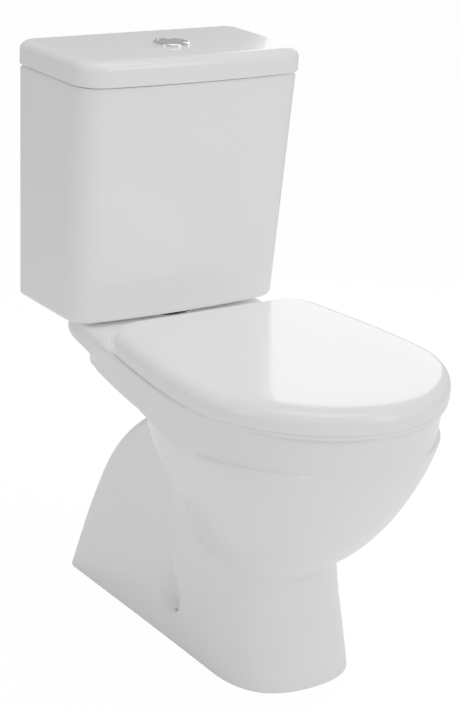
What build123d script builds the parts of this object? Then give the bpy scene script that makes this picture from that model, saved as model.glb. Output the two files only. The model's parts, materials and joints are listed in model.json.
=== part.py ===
"""Close coupled toilet with a top push button and a wrap-over seat (millimetres).

+X is the sitter's left-to-right width, +Y points to the wall, +Z is up.
The origin is on the floor, midway between the wall and the front of the seat.
"""
from math import cos, radians, sin
import os

from build123d import *

os.makedirs("parts", exist_ok=True)

# ---- driving dimensions -------------------------------------------------------------
DEPTH = 650.0                 # wall to the front of the seat
WALL_Y = DEPTH / 2            # the back of the cistern touches the wall here
TIP_Y = -DEPTH / 2            # front of the seat

SEAT_HALF = 186.3             # half the widest width of the seat cover
SEAT_WIDE_Y = -141.5          # where the seat cover is widest
SEAT_REAR_Y = 94.5
SEAT_REAR_HALF = 161.7
ROUND_SEAT = 0.690            # how square the front curve is: 0.707 is an ellipse
ROUND_FOOT = 0.758
FOOT_REAR_SHARE = 1.0         # the foot's width at the back, of its widest

RIM_TOP = 402.0               # top of the pan's rim
BAND_BOTTOM = 354.0           # lower edge of the smooth band under the rim
BAND_HALF = 184.0
DECK_TOP = 411.0              # platform that carries the cistern
DECK_REAR = 298.0
DECK_HALF = 150.0
DECK_CORNER = 85.0
PLATE_BOTTOM = 380.0          # underside of the deck's overhanging rear plate

TANK_BOTTOM = 416.8
TANK_TOP = 746.0
TANK_FOOT = (169.4, 167.6)    # half width and depth at the bottom
TANK_MOUTH = (175.4, 189.5)   # and at the top, because the cistern tapers
TANK_BOW = 9.4                # how far the front swells forward
TANK_FRONT_R = 36.0           # upright front corners
TANK_REAR_R = 6.0
TANK_WALL = 9.0
TANK_FLOOR = 12.0
LID_BOTTOM = 747.2
LID_TOP = 783.4
LID_PLAN = (177.4, 192.7)
LID_FRONT_R = 38.0
LID_REAR_R = 8.0
LID_WALL = 9.0

RING_BOTTOM = 406.0
RING_FLANGE_TOP = 411.4
RING_TOP = 427.0
COVER_BOTTOM = 412.1
COVER_TOP = 442.0
COVER_SKIN = 5.5

HINGE_Y = 84.0
HINGE_Z = 416.0
HINGE_X = 77.5                # half the spacing of the two seat bolts
HINGE_PIN_R = 4.0
SEAT_BOLT_R = 3.0
CISTERN_BOLT_R = 4.0
DECK_HOLE_R = 6.5             # holes in the deck for the seat and cistern bolts
PIVOT_R = 1.5                 # rocker and lever pins
THREAD_GAP = 0.05             # between a bolt and the nut or washer on it

FLUSH_Y = 217.0               # button, flush valve and pan inlet share this axis
BOLT_X = 80.0                 # cistern bolts, either side of the flush valve
FILL_X = 136.0
FILL_Y = 288.0

OUTLET_Y = WALL_Y - 140.0     # floor outlet, set out 140 from the wall
TRAP_BORE_R = 37.0
TRAP_TUBE_R = 50.0

ROCKER_ARM = 22.0
ROCKER_Y = 26.0               # each rocker's distance from the valve's axis


# ---- shared outlines ----------------------------------------------------------------
def d_shape(half, tip, wide_y, rear_y, rear_half, roundness=0.707, corner=0.0):
    """Plan outline: round nose at tip, widest at wide_y, straight back edge."""
    pull = (8 * roundness - 4) / 3
    side_third = (rear_y - wide_y) / 3
    with BuildSketch() as sketch:
        with BuildLine():
            Bezier(
                (0, tip),
                (half * pull, tip),
                (half, wide_y + (tip - wide_y) * pull),
                (half, wide_y),
            )
            Bezier(
                (half, wide_y),
                (half, wide_y + side_third),
                (rear_half + 0.52 * (half - rear_half), rear_y - side_third),
                (rear_half, rear_y),
            )
            Line((rear_half, rear_y), (0, rear_y))
            mirror(about=Plane.YZ)
        make_face()
        if corner:
            fillet(sketch.vertices().group_by(Axis.Y)[-1].filter_by(lambda v: abs(v.X) > 1), corner)
    return sketch.sketch


def tank_shape(size, inset, front_r, rear_r, back=0.0):
    """Plan outline of the cistern and its lid: flat back, slightly bowed front.

    inset draws it in by a wall's thickness; back moves its straight edge towards the wall.
    """
    half = size[0] - inset
    front = WALL_Y - size[1] + inset
    rear = WALL_Y - inset + back
    with BuildSketch() as sketch:
        with BuildLine():
            ThreePointArc((-half, front + TANK_BOW), (0, front), (half, front + TANK_BOW))
            Polyline((half, front + TANK_BOW), (half, rear), (-half, rear), (-half, front + TANK_BOW))
        make_face()
        fillet(sketch.vertices().group_by(Axis.Y)[0], front_r)
        fillet(sketch.vertices().group_by(Axis.Y)[-1], rear_r)
    return sketch.sketch


def seat_shape(inset=0.0):
    """The seat's plan outline, drawn in by inset all round."""
    return d_shape(
        SEAT_HALF - inset,
        TIP_Y + inset,
        SEAT_WIDE_Y,
        SEAT_REAR_Y - inset,
        SEAT_REAR_HALF - inset,
        ROUND_SEAT,
        22.0,
    )


def save(part, label):
    part.label = label
    export_step(part, f"parts/{label}.step")


# ---- pan ----------------------------------------------------------------------------
# height, half width, tip, back, half width at the back: the visible bowl
BOWL_OUTSIDE = [
    (RIM_TOP - 4, 175, -317, 75, 150),
    (350, 170, -306, 75, 140),
    (300, 161, -288, 62, 122),
    (250, 143, -261, 45, 104),
    (200, 112, -222, 20, 94),
    (160, 66, -175, -20, 60),
]
# the same for the wet inside of the bowl, down to the sump
BOWL_INSIDE = [
    (386, 152, -293, 58, 96),
    (350, 150, -289, 48, 92),
    (300, 146, -274, 36, 88),
    (250, 128, -247, 24, 78),
    (200, 96, -208, 10, 60),
    (150, 56, -140, -4, 40),
    (100, 38, -112, -14, 28),
    (67, 26, -98, -36, 18),
]
# height, tip, half width, back: the foot, which leans forward as it rises
FOOT_OUTSIDE = [
    (0, -198.0, 97.5, 289.0),
    (100, -170.0, 95.5, 260.0),
    (200, -139.0, 92.5, 213.0),
    (260, -119.0, 91.0, 161.0),
    (300, -105.0, 90.0, 107.0),
    (340, -90.0, 89.0, 40.0),
]
FOOT_HOLLOW_TOP = 300.0
FOOT_WALL = 11.0
BOWL_WALL = 12.0

with BuildPart() as bowl_outside:
    for height, half, tip, rear, rear_half in BOWL_OUTSIDE:
        with BuildSketch(Plane.XY.offset(height)):
            add(d_shape(half, tip, -115, rear, rear_half, corner=30))
    loft()

with BuildPart() as foot_outside:
    for height, tip, half, rear in FOOT_OUTSIDE:
        with BuildSketch(Plane.XY.offset(height)):
            wide_y = min(-70.0, tip + 100)
            add(d_shape(half, tip, wide_y, rear, half * FOOT_REAR_SHARE, ROUND_FOOT, 22))
    loft()

with BuildPart() as foot_hollow:
    for height, tip, half, rear in FOOT_OUTSIDE[:-1]:
        with BuildSketch(Plane.XY.offset(height if height else -5)):
            inner = half - FOOT_WALL
            nose = tip + 1.2 * FOOT_WALL
            wide_y = min(-70.0, tip + 100)
            add(d_shape(inner, nose, wide_y, rear - 1.4 * FOOT_WALL, inner * FOOT_REAR_SHARE, ROUND_FOOT, 14))
    loft()

with BuildPart() as bowl_inside:
    for height, half, tip, rear, rear_half in BOWL_INSIDE:
        with BuildSketch(Plane.XY.offset(height)):
            add(d_shape(half, tip, -115 + (386 - height) * 0.12, rear, rear_half, corner=15))
    loft()

with BuildPart() as bowl_shell:
    for height, half, tip, rear, rear_half in BOWL_INSIDE[2:]:
        grow = BOWL_WALL if height > 67 else BOWL_WALL - 2
        with BuildSketch(Plane.XY.offset(height if height > 67 else height - BOWL_WALL)):
            add(
                d_shape(
                    half + grow,
                    tip - grow,
                    -115 + (386 - height) * 0.12,
                    rear + grow,
                    rear_half + grow,
                    corner=20,
                )
            )
    loft()

trap_points = [(-66, 100), (10, 100), (92, 312), (OUTLET_Y, 90), (OUTLET_Y, 12)]
with BuildLine(Plane.YZ) as trap_path:
    FilletPolyline(*trap_points, radius=[70, 56, 100])


def trap_sweep(radius):
    with BuildPart() as tube:
        with BuildSketch(Plane(origin=(0, *trap_points[0]), z_dir=(0, 1, 0))):
            Circle(radius)
        sweep(path=trap_path.wire())
    return tube.part


trap_bore = trap_sweep(TRAP_BORE_R)
trap_tube = trap_sweep(TRAP_TUBE_R)

RIM_OPENING_HALF = 134.0
RIM_LIP = 7.0
LIP_BOTTOM = 358.0
LIP_ROOF = 392.0              # inside the rim's solid top
NUT_POCKET_BOTTOM = 300.0
NUT_POCKET_TOP = 390.0
DUCT_BOTTOM = 366.0
DUCT_TOP = 390.0
INLET_R = 46.0
DUCT_R = 32.0
INLET_FLOOR = 397.6
SCREW_X = 84.0
SCREW_Y = 10.0
SCREW_HOLE_R = 4.0
LEDGE_Z = 44.0

with BuildPart() as band:
    for height, tip in ((BAND_BOTTOM, -309), (RIM_TOP, -318)):
        with BuildSketch(Plane.XY.offset(height)):
            add(d_shape(BAND_HALF, tip, -105, 150, DECK_HALF))
    loft()
    fillet(band.edges().group_by(Axis.Z)[-1].filter_by(GeomType.BSPLINE), 7)


def deck_slab(front, rear, bottom, top):
    """Flat slab with the deck's large round rear corners."""
    with BuildPart() as slab:
        with BuildSketch(Plane.XY.offset(bottom)) as plan:
            with Locations((0, (front + rear) / 2)):
                Rectangle(2 * DECK_HALF, rear - front)
            fillet(plan.vertices().group_by(Axis.Y)[-1], DECK_CORNER)
        extrude(amount=top - bottom)
    return slab.part


with BuildPart() as screw_recess:
    with BuildSketch(Plane.YZ.offset(SCREW_X - 9)):
        with BuildLine():
            CenterArc((SCREW_Y, LEDGE_Z + 19), 19, 180, 180)
            Polyline((SCREW_Y + 19, LEDGE_Z + 19), (SCREW_Y - 8, 118), (SCREW_Y - 19, LEDGE_Z + 19))
        make_face()
    extrude(amount=40)

with BuildPart() as pan:
    add(band)
    add(deck_slab(100, 222, BAND_BOTTOM, PLATE_BOTTOM + 1))
    add(deck_slab(100, DECK_REAR, PLATE_BOTTOM, RIM_TOP))
    add(deck_slab(126, DECK_REAR, RIM_TOP - 1, DECK_TOP))
    add(bowl_outside)
    add(foot_outside)
    add(foot_hollow, mode=Mode.SUBTRACT)
    add(bowl_shell)
    # trap tube, from the sump over the weir and down to the floor outlet
    add(trap_tube)
    # bosses behind the screw recesses
    with BuildSketch():
        with GridLocations(2 * (SCREW_X - 8), 1, 2, 1):
            Rectangle(36, 64)
    extrude(amount=126)
    add(bowl_inside, mode=Mode.SUBTRACT)
    add(trap_bore, mode=Mode.SUBTRACT)
    # mouth of the bowl, with the lip that turns down round the flushing rim
    with BuildSketch(Plane.XY.offset(LIP_BOTTOM)):
        add(d_shape(RIM_OPENING_HALF + RIM_LIP, -282, -115, 46, 84, corner=15))
        add(d_shape(RIM_OPENING_HALF, -275, -115, 39, 80, corner=15), mode=Mode.SUBTRACT)
    extrude(amount=LIP_ROOF - LIP_BOTTOM)
    with BuildSketch(Plane.XY.offset(LIP_BOTTOM - 18)):
        add(d_shape(RIM_OPENING_HALF, -275, -115, 39, 80, corner=15))
    extrude(amount=80, mode=Mode.SUBTRACT)
    # flush water inlet and its duct to the rim
    with BuildSketch(Plane.XY.offset(INLET_FLOOR)):
        with Locations((0, FLUSH_Y)):
            Circle(INLET_R)
    extrude(amount=30, mode=Mode.SUBTRACT)
    with BuildSketch(Plane.XY.offset(DUCT_BOTTOM)):
        with Locations((0, FLUSH_Y)):
            Circle(DUCT_R)
        with Locations((0, (FLUSH_Y + 50) / 2)):
            Rectangle(56, FLUSH_Y - 50)
    extrude(amount=DUCT_TOP - DUCT_BOTTOM, mode=Mode.SUBTRACT)
    with BuildSketch(Plane.XY.offset(DUCT_TOP - 1)):
        with Locations((0, FLUSH_Y)):
            Circle(DUCT_R)
    extrude(amount=30, mode=Mode.SUBTRACT)
    # room under the deck for the wing nuts of the seat and the cistern
    with BuildSketch(Plane.XY.offset(NUT_POCKET_BOTTOM)) as pockets:
        for side in (-1, 1):
            with Locations((side * 82, 150)):
                Rectangle(52, 176)
        fillet(pockets.vertices(), 16)
    extrude(amount=NUT_POCKET_TOP - NUT_POCKET_BOTTOM, mode=Mode.SUBTRACT)
    # bolt holes: seat, cistern and floor
    with BuildSketch(Plane.XY.offset(NUT_POCKET_BOTTOM)):
        with Locations((-HINGE_X, HINGE_Y), (HINGE_X, HINGE_Y)):
            Circle(DECK_HOLE_R)
        with Locations((-BOLT_X, FLUSH_Y), (BOLT_X, FLUSH_Y)):
            Circle(DECK_HOLE_R)
    extrude(amount=DECK_TOP + 1 - NUT_POCKET_BOTTOM, mode=Mode.SUBTRACT)
    add(screw_recess, mode=Mode.SUBTRACT)
    mirror(screw_recess.part, about=Plane.YZ, mode=Mode.SUBTRACT)
    with BuildSketch(Plane.XY.offset(-5)):
        with Locations((-SCREW_X, SCREW_Y), (SCREW_X, SCREW_Y)):
            Circle(SCREW_HOLE_R)
    extrude(amount=LEDGE_Z + 10, mode=Mode.SUBTRACT)
save(pan.part, "pan")


# ---- cistern and its lid ------------------------------------------------------------
with BuildPart() as tank_solid:
    for height, size in ((TANK_BOTTOM, TANK_FOOT), (TANK_TOP, TANK_MOUTH)):
        with BuildSketch(Plane.XY.offset(height)):
            add(tank_shape(size, 0, TANK_FRONT_R, TANK_REAR_R, back=1))
    loft()
    # the back is ground flat where it stands against the wall
    split(bisect_by=Plane(origin=(0, WALL_Y, 0), z_dir=(0, -1, 0)))
    fillet(tank_solid.edges().group_by(Axis.Z)[0], 5)

with BuildPart() as tank_inside:
    for height, size in ((TANK_BOTTOM + TANK_FLOOR, TANK_FOOT), (TANK_TOP + 1, TANK_MOUTH)):
        with BuildSketch(Plane.XY.offset(height)):
            add(tank_shape(size, TANK_WALL, TANK_FRONT_R - TANK_WALL, TANK_REAR_R + 4))
    loft()

VALVE_HOLE_R = 32.0
BOLT_HOLE_R = 6.0
FILL_HOLE_R = 11.5

with BuildPart() as cistern:
    add(tank_solid)
    add(tank_inside, mode=Mode.SUBTRACT)
    with BuildSketch(Plane.XY.offset(TANK_BOTTOM - 5)):
        with Locations((0, FLUSH_Y)):
            Circle(VALVE_HOLE_R)
        with Locations((-BOLT_X, FLUSH_Y), (BOLT_X, FLUSH_Y)):
            Circle(BOLT_HOLE_R)
        with Locations((FILL_X, FILL_Y)):
            Circle(FILL_HOLE_R)
    extrude(amount=TANK_FLOOR + 10, mode=Mode.SUBTRACT)
save(cistern.part, "cistern")

BUTTON_HOLE_R = 20.9
RIB_X = 157.0
RIB_DROP = 9.0
RIB_Y = 240.0
LID_CEILING = LID_TOP - LID_WALL - 1

with BuildPart() as lid_hollow:
    with BuildSketch(Plane.XY.offset(LID_BOTTOM)):
        add(tank_shape(LID_PLAN, LID_WALL, LID_FRONT_R - LID_WALL, LID_REAR_R))
    extrude(amount=LID_CEILING - LID_BOTTOM)
    fillet(lid_hollow.edges().group_by(Axis.Z)[-1], 8)

with BuildPart() as cistern_lid:
    with BuildSketch(Plane.XY.offset(LID_BOTTOM)):
        add(tank_shape(LID_PLAN, 0, LID_FRONT_R, LID_REAR_R))
    extrude(amount=LID_TOP - LID_BOTTOM)
    fillet(cistern_lid.edges().group_by(Axis.Z)[-1], 5.9)
    add(lid_hollow, mode=Mode.SUBTRACT)
    # two locating ribs that drop inside the cistern
    with BuildSketch(Plane.XY.offset(LID_BOTTOM - RIB_DROP)):
        with Locations((-RIB_X, RIB_Y), (RIB_X, RIB_Y)):
            Rectangle(7, 90)
    extrude(amount=LID_CEILING + 2 - LID_BOTTOM + RIB_DROP)
    with BuildSketch(Plane.XY.offset(LID_TOP - 30)):
        with Locations((0, FLUSH_Y)):
            Circle(BUTTON_HOLE_R)
    extrude(amount=40, mode=Mode.SUBTRACT)
save(cistern_lid.part, "cistern_lid")


# ---- seat ---------------------------------------------------------------------------
OPENING_HALF = 112.0
OPENING_FRONT = -252.0
OPENING_WIDE = -105.0
OPENING_REAR = 22.0
RING_REAR_Y = 69.0
KNUCKLE_R = 8.0
KNUCKLE_BORE_R = HINGE_PIN_R + 0.05
RING_KNUCKLE = (57.5, 68.9)      # inner and outer end of the ring's knuckle on +X
COVER_KNUCKLE = (86.1, 97.5)
POST_WIDTH = 16.0
SEAT_BOLT_BOTTOM = 346.0
WASHER_THICK = 4.0            # rubber washers under the deck


def seat_opening(grow=0.0):
    """Egg-shaped opening of the seat ring."""
    half = OPENING_HALF + grow
    with BuildSketch() as sketch:
        with BuildLine():
            EllipticalCenterArc(
                (0, OPENING_WIDE), half, OPENING_WIDE - OPENING_FRONT + grow, 180, arc_size=180
            )
            EllipticalCenterArc(
                (0, OPENING_WIDE), half, OPENING_REAR - OPENING_WIDE + grow, 0, arc_size=180
            )
        make_face()
    return sketch.sketch


def knuckles(ends, floor_y, ceiling_z):
    """Bored hinge barrels on both sides, each with a web towards its own plate."""
    with BuildPart() as barrels:
        for side in (-1, 1):
            start = ends[0] if side > 0 else -ends[1]
            with BuildSketch(Plane.YZ.offset(start)):
                with Locations((HINGE_Y, HINGE_Z)):
                    Circle(KNUCKLE_R)
                with BuildLine():
                    Polyline(
                        (HINGE_Y, HINGE_Z - KNUCKLE_R),
                        (HINGE_Y, ceiling_z),
                        (floor_y, ceiling_z),
                        (floor_y, HINGE_Z - KNUCKLE_R),
                        close=True,
                    )
                make_face()
                with Locations((HINGE_Y, HINGE_Z)):
                    Circle(KNUCKLE_BORE_R, mode=Mode.SUBTRACT)
            extrude(amount=ends[1] - ends[0])
    return barrels.part


with BuildPart() as seat_ring:
    with BuildSketch(Plane.XY.offset(RING_BOTTOM)):
        add(d_shape(SEAT_HALF - 1.2, TIP_Y + 1.2, SEAT_WIDE_Y, RING_REAR_Y, 164, ROUND_SEAT, 14))
    extrude(amount=RING_FLANGE_TOP - RING_BOTTOM)
    with BuildSketch(Plane.XY.offset(RING_FLANGE_TOP - 1)):
        add(d_shape(SEAT_HALF - 9, TIP_Y + 9, SEAT_WIDE_Y, RING_REAR_Y, 156, ROUND_SEAT, 14))
    extrude(amount=RING_TOP - RING_FLANGE_TOP + 1)
    fillet(seat_ring.edges().group_by(Axis.Z)[-1], 8)
    with BuildSketch(Plane.XY.offset(RING_BOTTOM - 1)):
        add(seat_opening())
    with BuildSketch(Plane.XY.offset(RING_TOP - 7)):
        add(seat_opening(2))
    with BuildSketch(Plane.XY.offset(RING_TOP - 2)):
        add(seat_opening(5))
    with BuildSketch(Plane.XY.offset(RING_TOP + 1)):
        add(seat_opening(10))
    loft(mode=Mode.SUBTRACT)
    add(knuckles(RING_KNUCKLE, RING_REAR_Y - 6, HINGE_Z + KNUCKLE_R))
save(seat_ring.part, "seat_ring")

with BuildPart() as cover_hollow:
    with BuildSketch(Plane.XY.offset(COVER_BOTTOM - 1)):
        add(seat_shape(COVER_SKIN))
    extrude(amount=COVER_TOP - COVER_SKIN - COVER_BOTTOM + 1)
    fillet(cover_hollow.edges().group_by(Axis.Z)[-1], 6)

with BuildPart() as seat_cover:
    with BuildSketch(Plane.XY.offset(COVER_BOTTOM)):
        add(seat_shape())
    extrude(amount=COVER_TOP - COVER_BOTTOM)
    fillet(seat_cover.edges().group_by(Axis.Z)[-1], 11)
    add(cover_hollow, mode=Mode.SUBTRACT)
    # gaps in the back wall for the hinge
    with BuildSketch(Plane.XY.offset(COVER_BOTTOM - 1)):
        with Locations((-HINGE_X, HINGE_Y + 8), (HINGE_X, HINGE_Y + 8)):
            Rectangle(46, 24)
    extrude(amount=COVER_TOP - COVER_SKIN - COVER_BOTTOM + 1, mode=Mode.SUBTRACT)
    add(knuckles(COVER_KNUCKLE, HINGE_Y - KNUCKLE_R, COVER_TOP - COVER_SKIN + 1))
save(seat_cover.part, "seat_cover")

with BuildPart() as seat_hinge_posts:
    for side in (-1, 1):
        with BuildSketch(Plane.XY.offset(RIM_TOP)):
            with Locations((side * HINGE_X, HINGE_Y)):
                Circle(11)
        extrude(amount=4)
        with BuildSketch(Plane.YZ.offset(side * HINGE_X - POST_WIDTH / 2)):
            with Locations((HINGE_Y, HINGE_Z)):
                Circle(KNUCKLE_R)
            with Locations((HINGE_Y, (RIM_TOP + HINGE_Z) / 2)):
                Rectangle(2 * KNUCKLE_R, HINGE_Z - RIM_TOP)
            with Locations((HINGE_Y, HINGE_Z)):
                Circle(HINGE_PIN_R + 0.01, mode=Mode.SUBTRACT)
        extrude(amount=POST_WIDTH)
    # blind sockets for the seat bolts
    with BuildSketch(Plane.XY.offset(RIM_TOP)):
        with Locations((-HINGE_X, HINGE_Y), (HINGE_X, HINGE_Y)):
            Circle(SEAT_BOLT_R + THREAD_GAP)
    extrude(amount=8, mode=Mode.SUBTRACT)
save(seat_hinge_posts.part, "seat_hinge_posts")

with BuildPart() as seat_hinge_pins:
    for side in (-1, 1):
        start = RING_KNUCKLE[0] if side > 0 else -COVER_KNUCKLE[1]
        with BuildSketch(Plane.YZ.offset(start)):
            with Locations((HINGE_Y, HINGE_Z)):
                Circle(HINGE_PIN_R)
        extrude(amount=COVER_KNUCKLE[1] - RING_KNUCKLE[0])
save(seat_hinge_pins.part, "seat_hinge_pins")

with BuildPart() as seat_bolts:
    for side in (-1, 1):
        with BuildSketch(Plane.XY.offset(SEAT_BOLT_BOTTOM)):
            with Locations((side * HINGE_X, HINGE_Y)):
                Circle(SEAT_BOLT_R)
        extrude(amount=RIM_TOP + 7 - SEAT_BOLT_BOTTOM)
save(seat_bolts.part, "seat_bolts")

with BuildPart() as seat_bolt_washers:
    for side in (-1, 1):
        with BuildSketch(Plane.XY.offset(NUT_POCKET_TOP - WASHER_THICK)):
            with Locations((side * HINGE_X, HINGE_Y)):
                Circle(13)
                Circle(SEAT_BOLT_R + THREAD_GAP, mode=Mode.SUBTRACT)
        extrude(amount=WASHER_THICK)
save(seat_bolt_washers.part, "seat_bolt_washers")


def wing_nuts(x, y, top, bore):
    """A pair of wing nuts under the deck."""
    with BuildPart() as nuts:
        for side in (-1, 1):
            with BuildSketch(Plane.XY.offset(top - 9)):
                with Locations((side * x, y)):
                    Circle(8)
                    Circle(bore, mode=Mode.SUBTRACT)
            extrude(amount=9)
            with BuildSketch(Plane.XY.offset(top - 16)):
                with Locations((side * x, y - 11), (side * x, y + 11)):
                    RectangleRounded(3.5, 11, 1.2)
            extrude(amount=14)
    return nuts.part


seat_nuts = wing_nuts(HINGE_X, HINGE_Y, NUT_POCKET_TOP - WASHER_THICK, SEAT_BOLT_R + THREAD_GAP)
save(seat_nuts, "seat_wing_nuts")

BUFFER_GAP = 0.4              # a buffer stops just short of what it rests on

with BuildPart() as ring_buffers:
    with BuildSketch(Plane.XY.offset(RIM_TOP + BUFFER_GAP)):
        with Locations((-150, -60), (150, -60), (-88, -266), (88, -266)):
            SlotOverall(20, 9, rotation=90)
    extrude(amount=RING_BOTTOM - RIM_TOP - BUFFER_GAP)
save(ring_buffers.part, "ring_buffers")

with BuildPart() as cover_buffers:
    with BuildSketch(Plane.XY.offset(RING_TOP + BUFFER_GAP)):
        with Locations((-128, -200), (128, -200), (0, 45)):
            Circle(6)
    extrude(amount=COVER_TOP - COVER_SKIN - RING_TOP - BUFFER_GAP)
save(cover_buffers.part, "cover_buffers")


# ---- push button in the lid ---------------------------------------------------------
BEZEL_R = 25.0
BUTTON_R = 19.1
SLEEVE_R = 20.4
SLEEVE_BORE_R = 19.5
SLEEVE_BOTTOM = 752.0
BUTTON_TOP = 787.4
BUTTON_BOTTOM = 776.0
SPLIT_X = -3.0                # the half-flush segment lies on the -X side
SPLIT_GAP = 0.4
ROD_X = 10.0
ROD_R = 2.5
ROD_HOLE_R = 2.56
SPRING_FLOOR = 755.0
CLAMP_NUT_HEIGHT = 9.0

with BuildPart() as button_bezel:
    with BuildSketch(Plane.XY.offset(LID_TOP)):
        with Locations((0, FLUSH_Y)):
            Circle(BEZEL_R)
            Circle(SLEEVE_BORE_R, mode=Mode.SUBTRACT)
    extrude(amount=4.2)
    fillet(button_bezel.edges().group_by(Axis.Z)[-1].sort_by(SortBy.LENGTH)[-1], 2.5)
save(button_bezel.part, "button_bezel")

with BuildPart() as button_sleeve:
    with BuildSketch(Plane.XY.offset(SLEEVE_BOTTOM)):
        with Locations((0, FLUSH_Y)):
            Circle(SLEEVE_R)
    extrude(amount=LID_TOP - SLEEVE_BOTTOM)
    with BuildSketch(Plane.XY.offset(SPRING_FLOOR)):
        with Locations((0, FLUSH_Y)):
            Circle(SLEEVE_BORE_R)
    extrude(amount=LID_TOP - SPRING_FLOOR, mode=Mode.SUBTRACT)
    with BuildSketch(Plane.XY.offset(SLEEVE_BOTTOM)):
        with Locations((-ROD_X, FLUSH_Y), (ROD_X, FLUSH_Y)):
            Circle(ROD_HOLE_R)
    extrude(amount=SPRING_FLOOR - SLEEVE_BOTTOM, mode=Mode.SUBTRACT)
save(button_sleeve.part, "button_sleeve")

with BuildPart() as button_clamp_nut:
    with BuildSketch(Plane.XY.offset(LID_CEILING - CLAMP_NUT_HEIGHT)):
        with Locations((0, FLUSH_Y)):
            RegularPolygon(31, 6)
            Circle(SLEEVE_R + 0.02, mode=Mode.SUBTRACT)
    extrude(amount=CLAMP_NUT_HEIGHT)
save(button_clamp_nut.part, "button_clamp_nut")


def button_half(keep):
    """One of the two button segments: the round top split at SPLIT_X."""
    with BuildPart() as segment:
        with BuildSketch(Plane.XY.offset(BUTTON_BOTTOM)):
            with Locations((0, FLUSH_Y)):
                Circle(BUTTON_R)
            with Locations((SPLIT_X - keep * (50 - SPLIT_GAP), FLUSH_Y)):
                Rectangle(100, 60, mode=Mode.SUBTRACT)
        extrude(amount=BUTTON_TOP - BUTTON_BOTTOM)
        fillet(segment.edges().group_by(Axis.Z)[-1], 0.8)
    return segment.part


save(button_half(1), "full_flush_button")
save(button_half(-1), "half_flush_button")

ROCKER_TOP = 664.0            # upper face of both rockers
ROD_GAP = 0.6                 # between a rod's tip and the lever under it
CRANK_Z = 712.0               # where a push rod turns outwards


def push_rod(side):
    """Rod under a button, cranked outwards to reach its rocker."""
    tip_x = side * ROCKER_ARM
    tip_y = FLUSH_Y - side * ROCKER_Y
    tip_z = ROCKER_TOP + ROD_GAP + ROD_R
    with BuildPart() as rod:
        with BuildSketch(Plane.XY.offset(CRANK_Z)):
            with Locations((side * ROD_X, FLUSH_Y)):
                Circle(ROD_R)
        extrude(amount=BUTTON_BOTTOM - CRANK_Z)
        with BuildSketch(Plane.XY.offset(CRANK_Z - 3)):
            with BuildLine():
                Line((side * ROD_X, FLUSH_Y), (tip_x, tip_y))
            trace(line_width=2 * ROD_R)
            with Locations((side * ROD_X, FLUSH_Y), (tip_x, tip_y)):
                Circle(ROD_R)
        extrude(amount=4)
        with BuildSketch(Plane.XY.offset(tip_z)):
            with Locations((tip_x, tip_y)):
                Circle(ROD_R)
        extrude(amount=CRANK_Z - tip_z)
        with Locations((tip_x, tip_y, tip_z)):
            Sphere(ROD_R)
    return rod.part


save(push_rod(1), "full_flush_rod")
save(push_rod(-1), "half_flush_rod")


def button_spring(side):
    """Compression spring round a push rod, under its button."""
    with BuildPart() as spring:
        with BuildLine():
            coil = Helix(
                pitch=4.0,
                height=BUTTON_BOTTOM - SPRING_FLOOR - 1.6,
                radius=4.2,
                center=(side * ROD_X, FLUSH_Y, SPRING_FLOOR + 0.8),
            )
        with BuildSketch(Plane(origin=coil @ 0, z_dir=coil % 0)):
            Circle(0.5)
        sweep()
    return spring.part


save(button_spring(1), "full_flush_spring")
save(button_spring(-1), "half_flush_spring")


# ---- flush valve --------------------------------------------------------------------
FLOOR_Z = TANK_BOTTOM + TANK_FLOOR      # wet floor of the cistern
SHANK_R = 31.0
SHANK_BORE_R = 26.0
VALVE_SEAT_Z = FLOOR_Z + 14
CAGE_R = 42.0
CAGE_BORE_R = 39.5
CAGE_TOP = 640.0
TUBE_R = 12.0
TUBE_TOP = 690.0
TUBE_COLLAR_Z = 678.0
TUBE_LUG_TOP = 682.0
SHANK_BOTTOM = 400.0
VALVE_NUT_BOTTOM = 405.0
SLOT_Z = 550.0                # middle of the cage's tall slots
SLEEVE_FOOT = 570.0           # half-flush sleeve, with its float at the foot
SLEEVE_TOP = 672.0
PIVOT_Z = ROCKER_TOP - 3
PIVOT_HOLE_R = PIVOT_R + 0.04

with BuildPart() as flush_valve_base:
    with BuildSketch(Plane.XY.offset(SHANK_BOTTOM)):
        with Locations((0, FLUSH_Y)):
            Circle(SHANK_R)
    extrude(amount=VALVE_SEAT_Z - SHANK_BOTTOM)
    with BuildSketch(Plane.XY.offset(FLOOR_Z + 3)):
        with Locations((0, FLUSH_Y)):
            Circle(CAGE_R + 3)
    extrude(amount=4)
    with BuildSketch(Plane.XY.offset(SHANK_BOTTOM)):
        with Locations((0, FLUSH_Y)):
            Circle(SHANK_BORE_R)
    extrude(amount=VALVE_SEAT_Z - SHANK_BOTTOM, mode=Mode.SUBTRACT)
save(flush_valve_base.part, "flush_valve_base")

with BuildPart() as flush_valve_washer:
    with BuildSketch(Plane.XY.offset(FLOOR_Z)):
        with Locations((0, FLUSH_Y)):
            Circle(CAGE_R)
            Circle(SHANK_R + THREAD_GAP, mode=Mode.SUBTRACT)
    extrude(amount=3)
save(flush_valve_washer.part, "flush_valve_washer")

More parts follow.
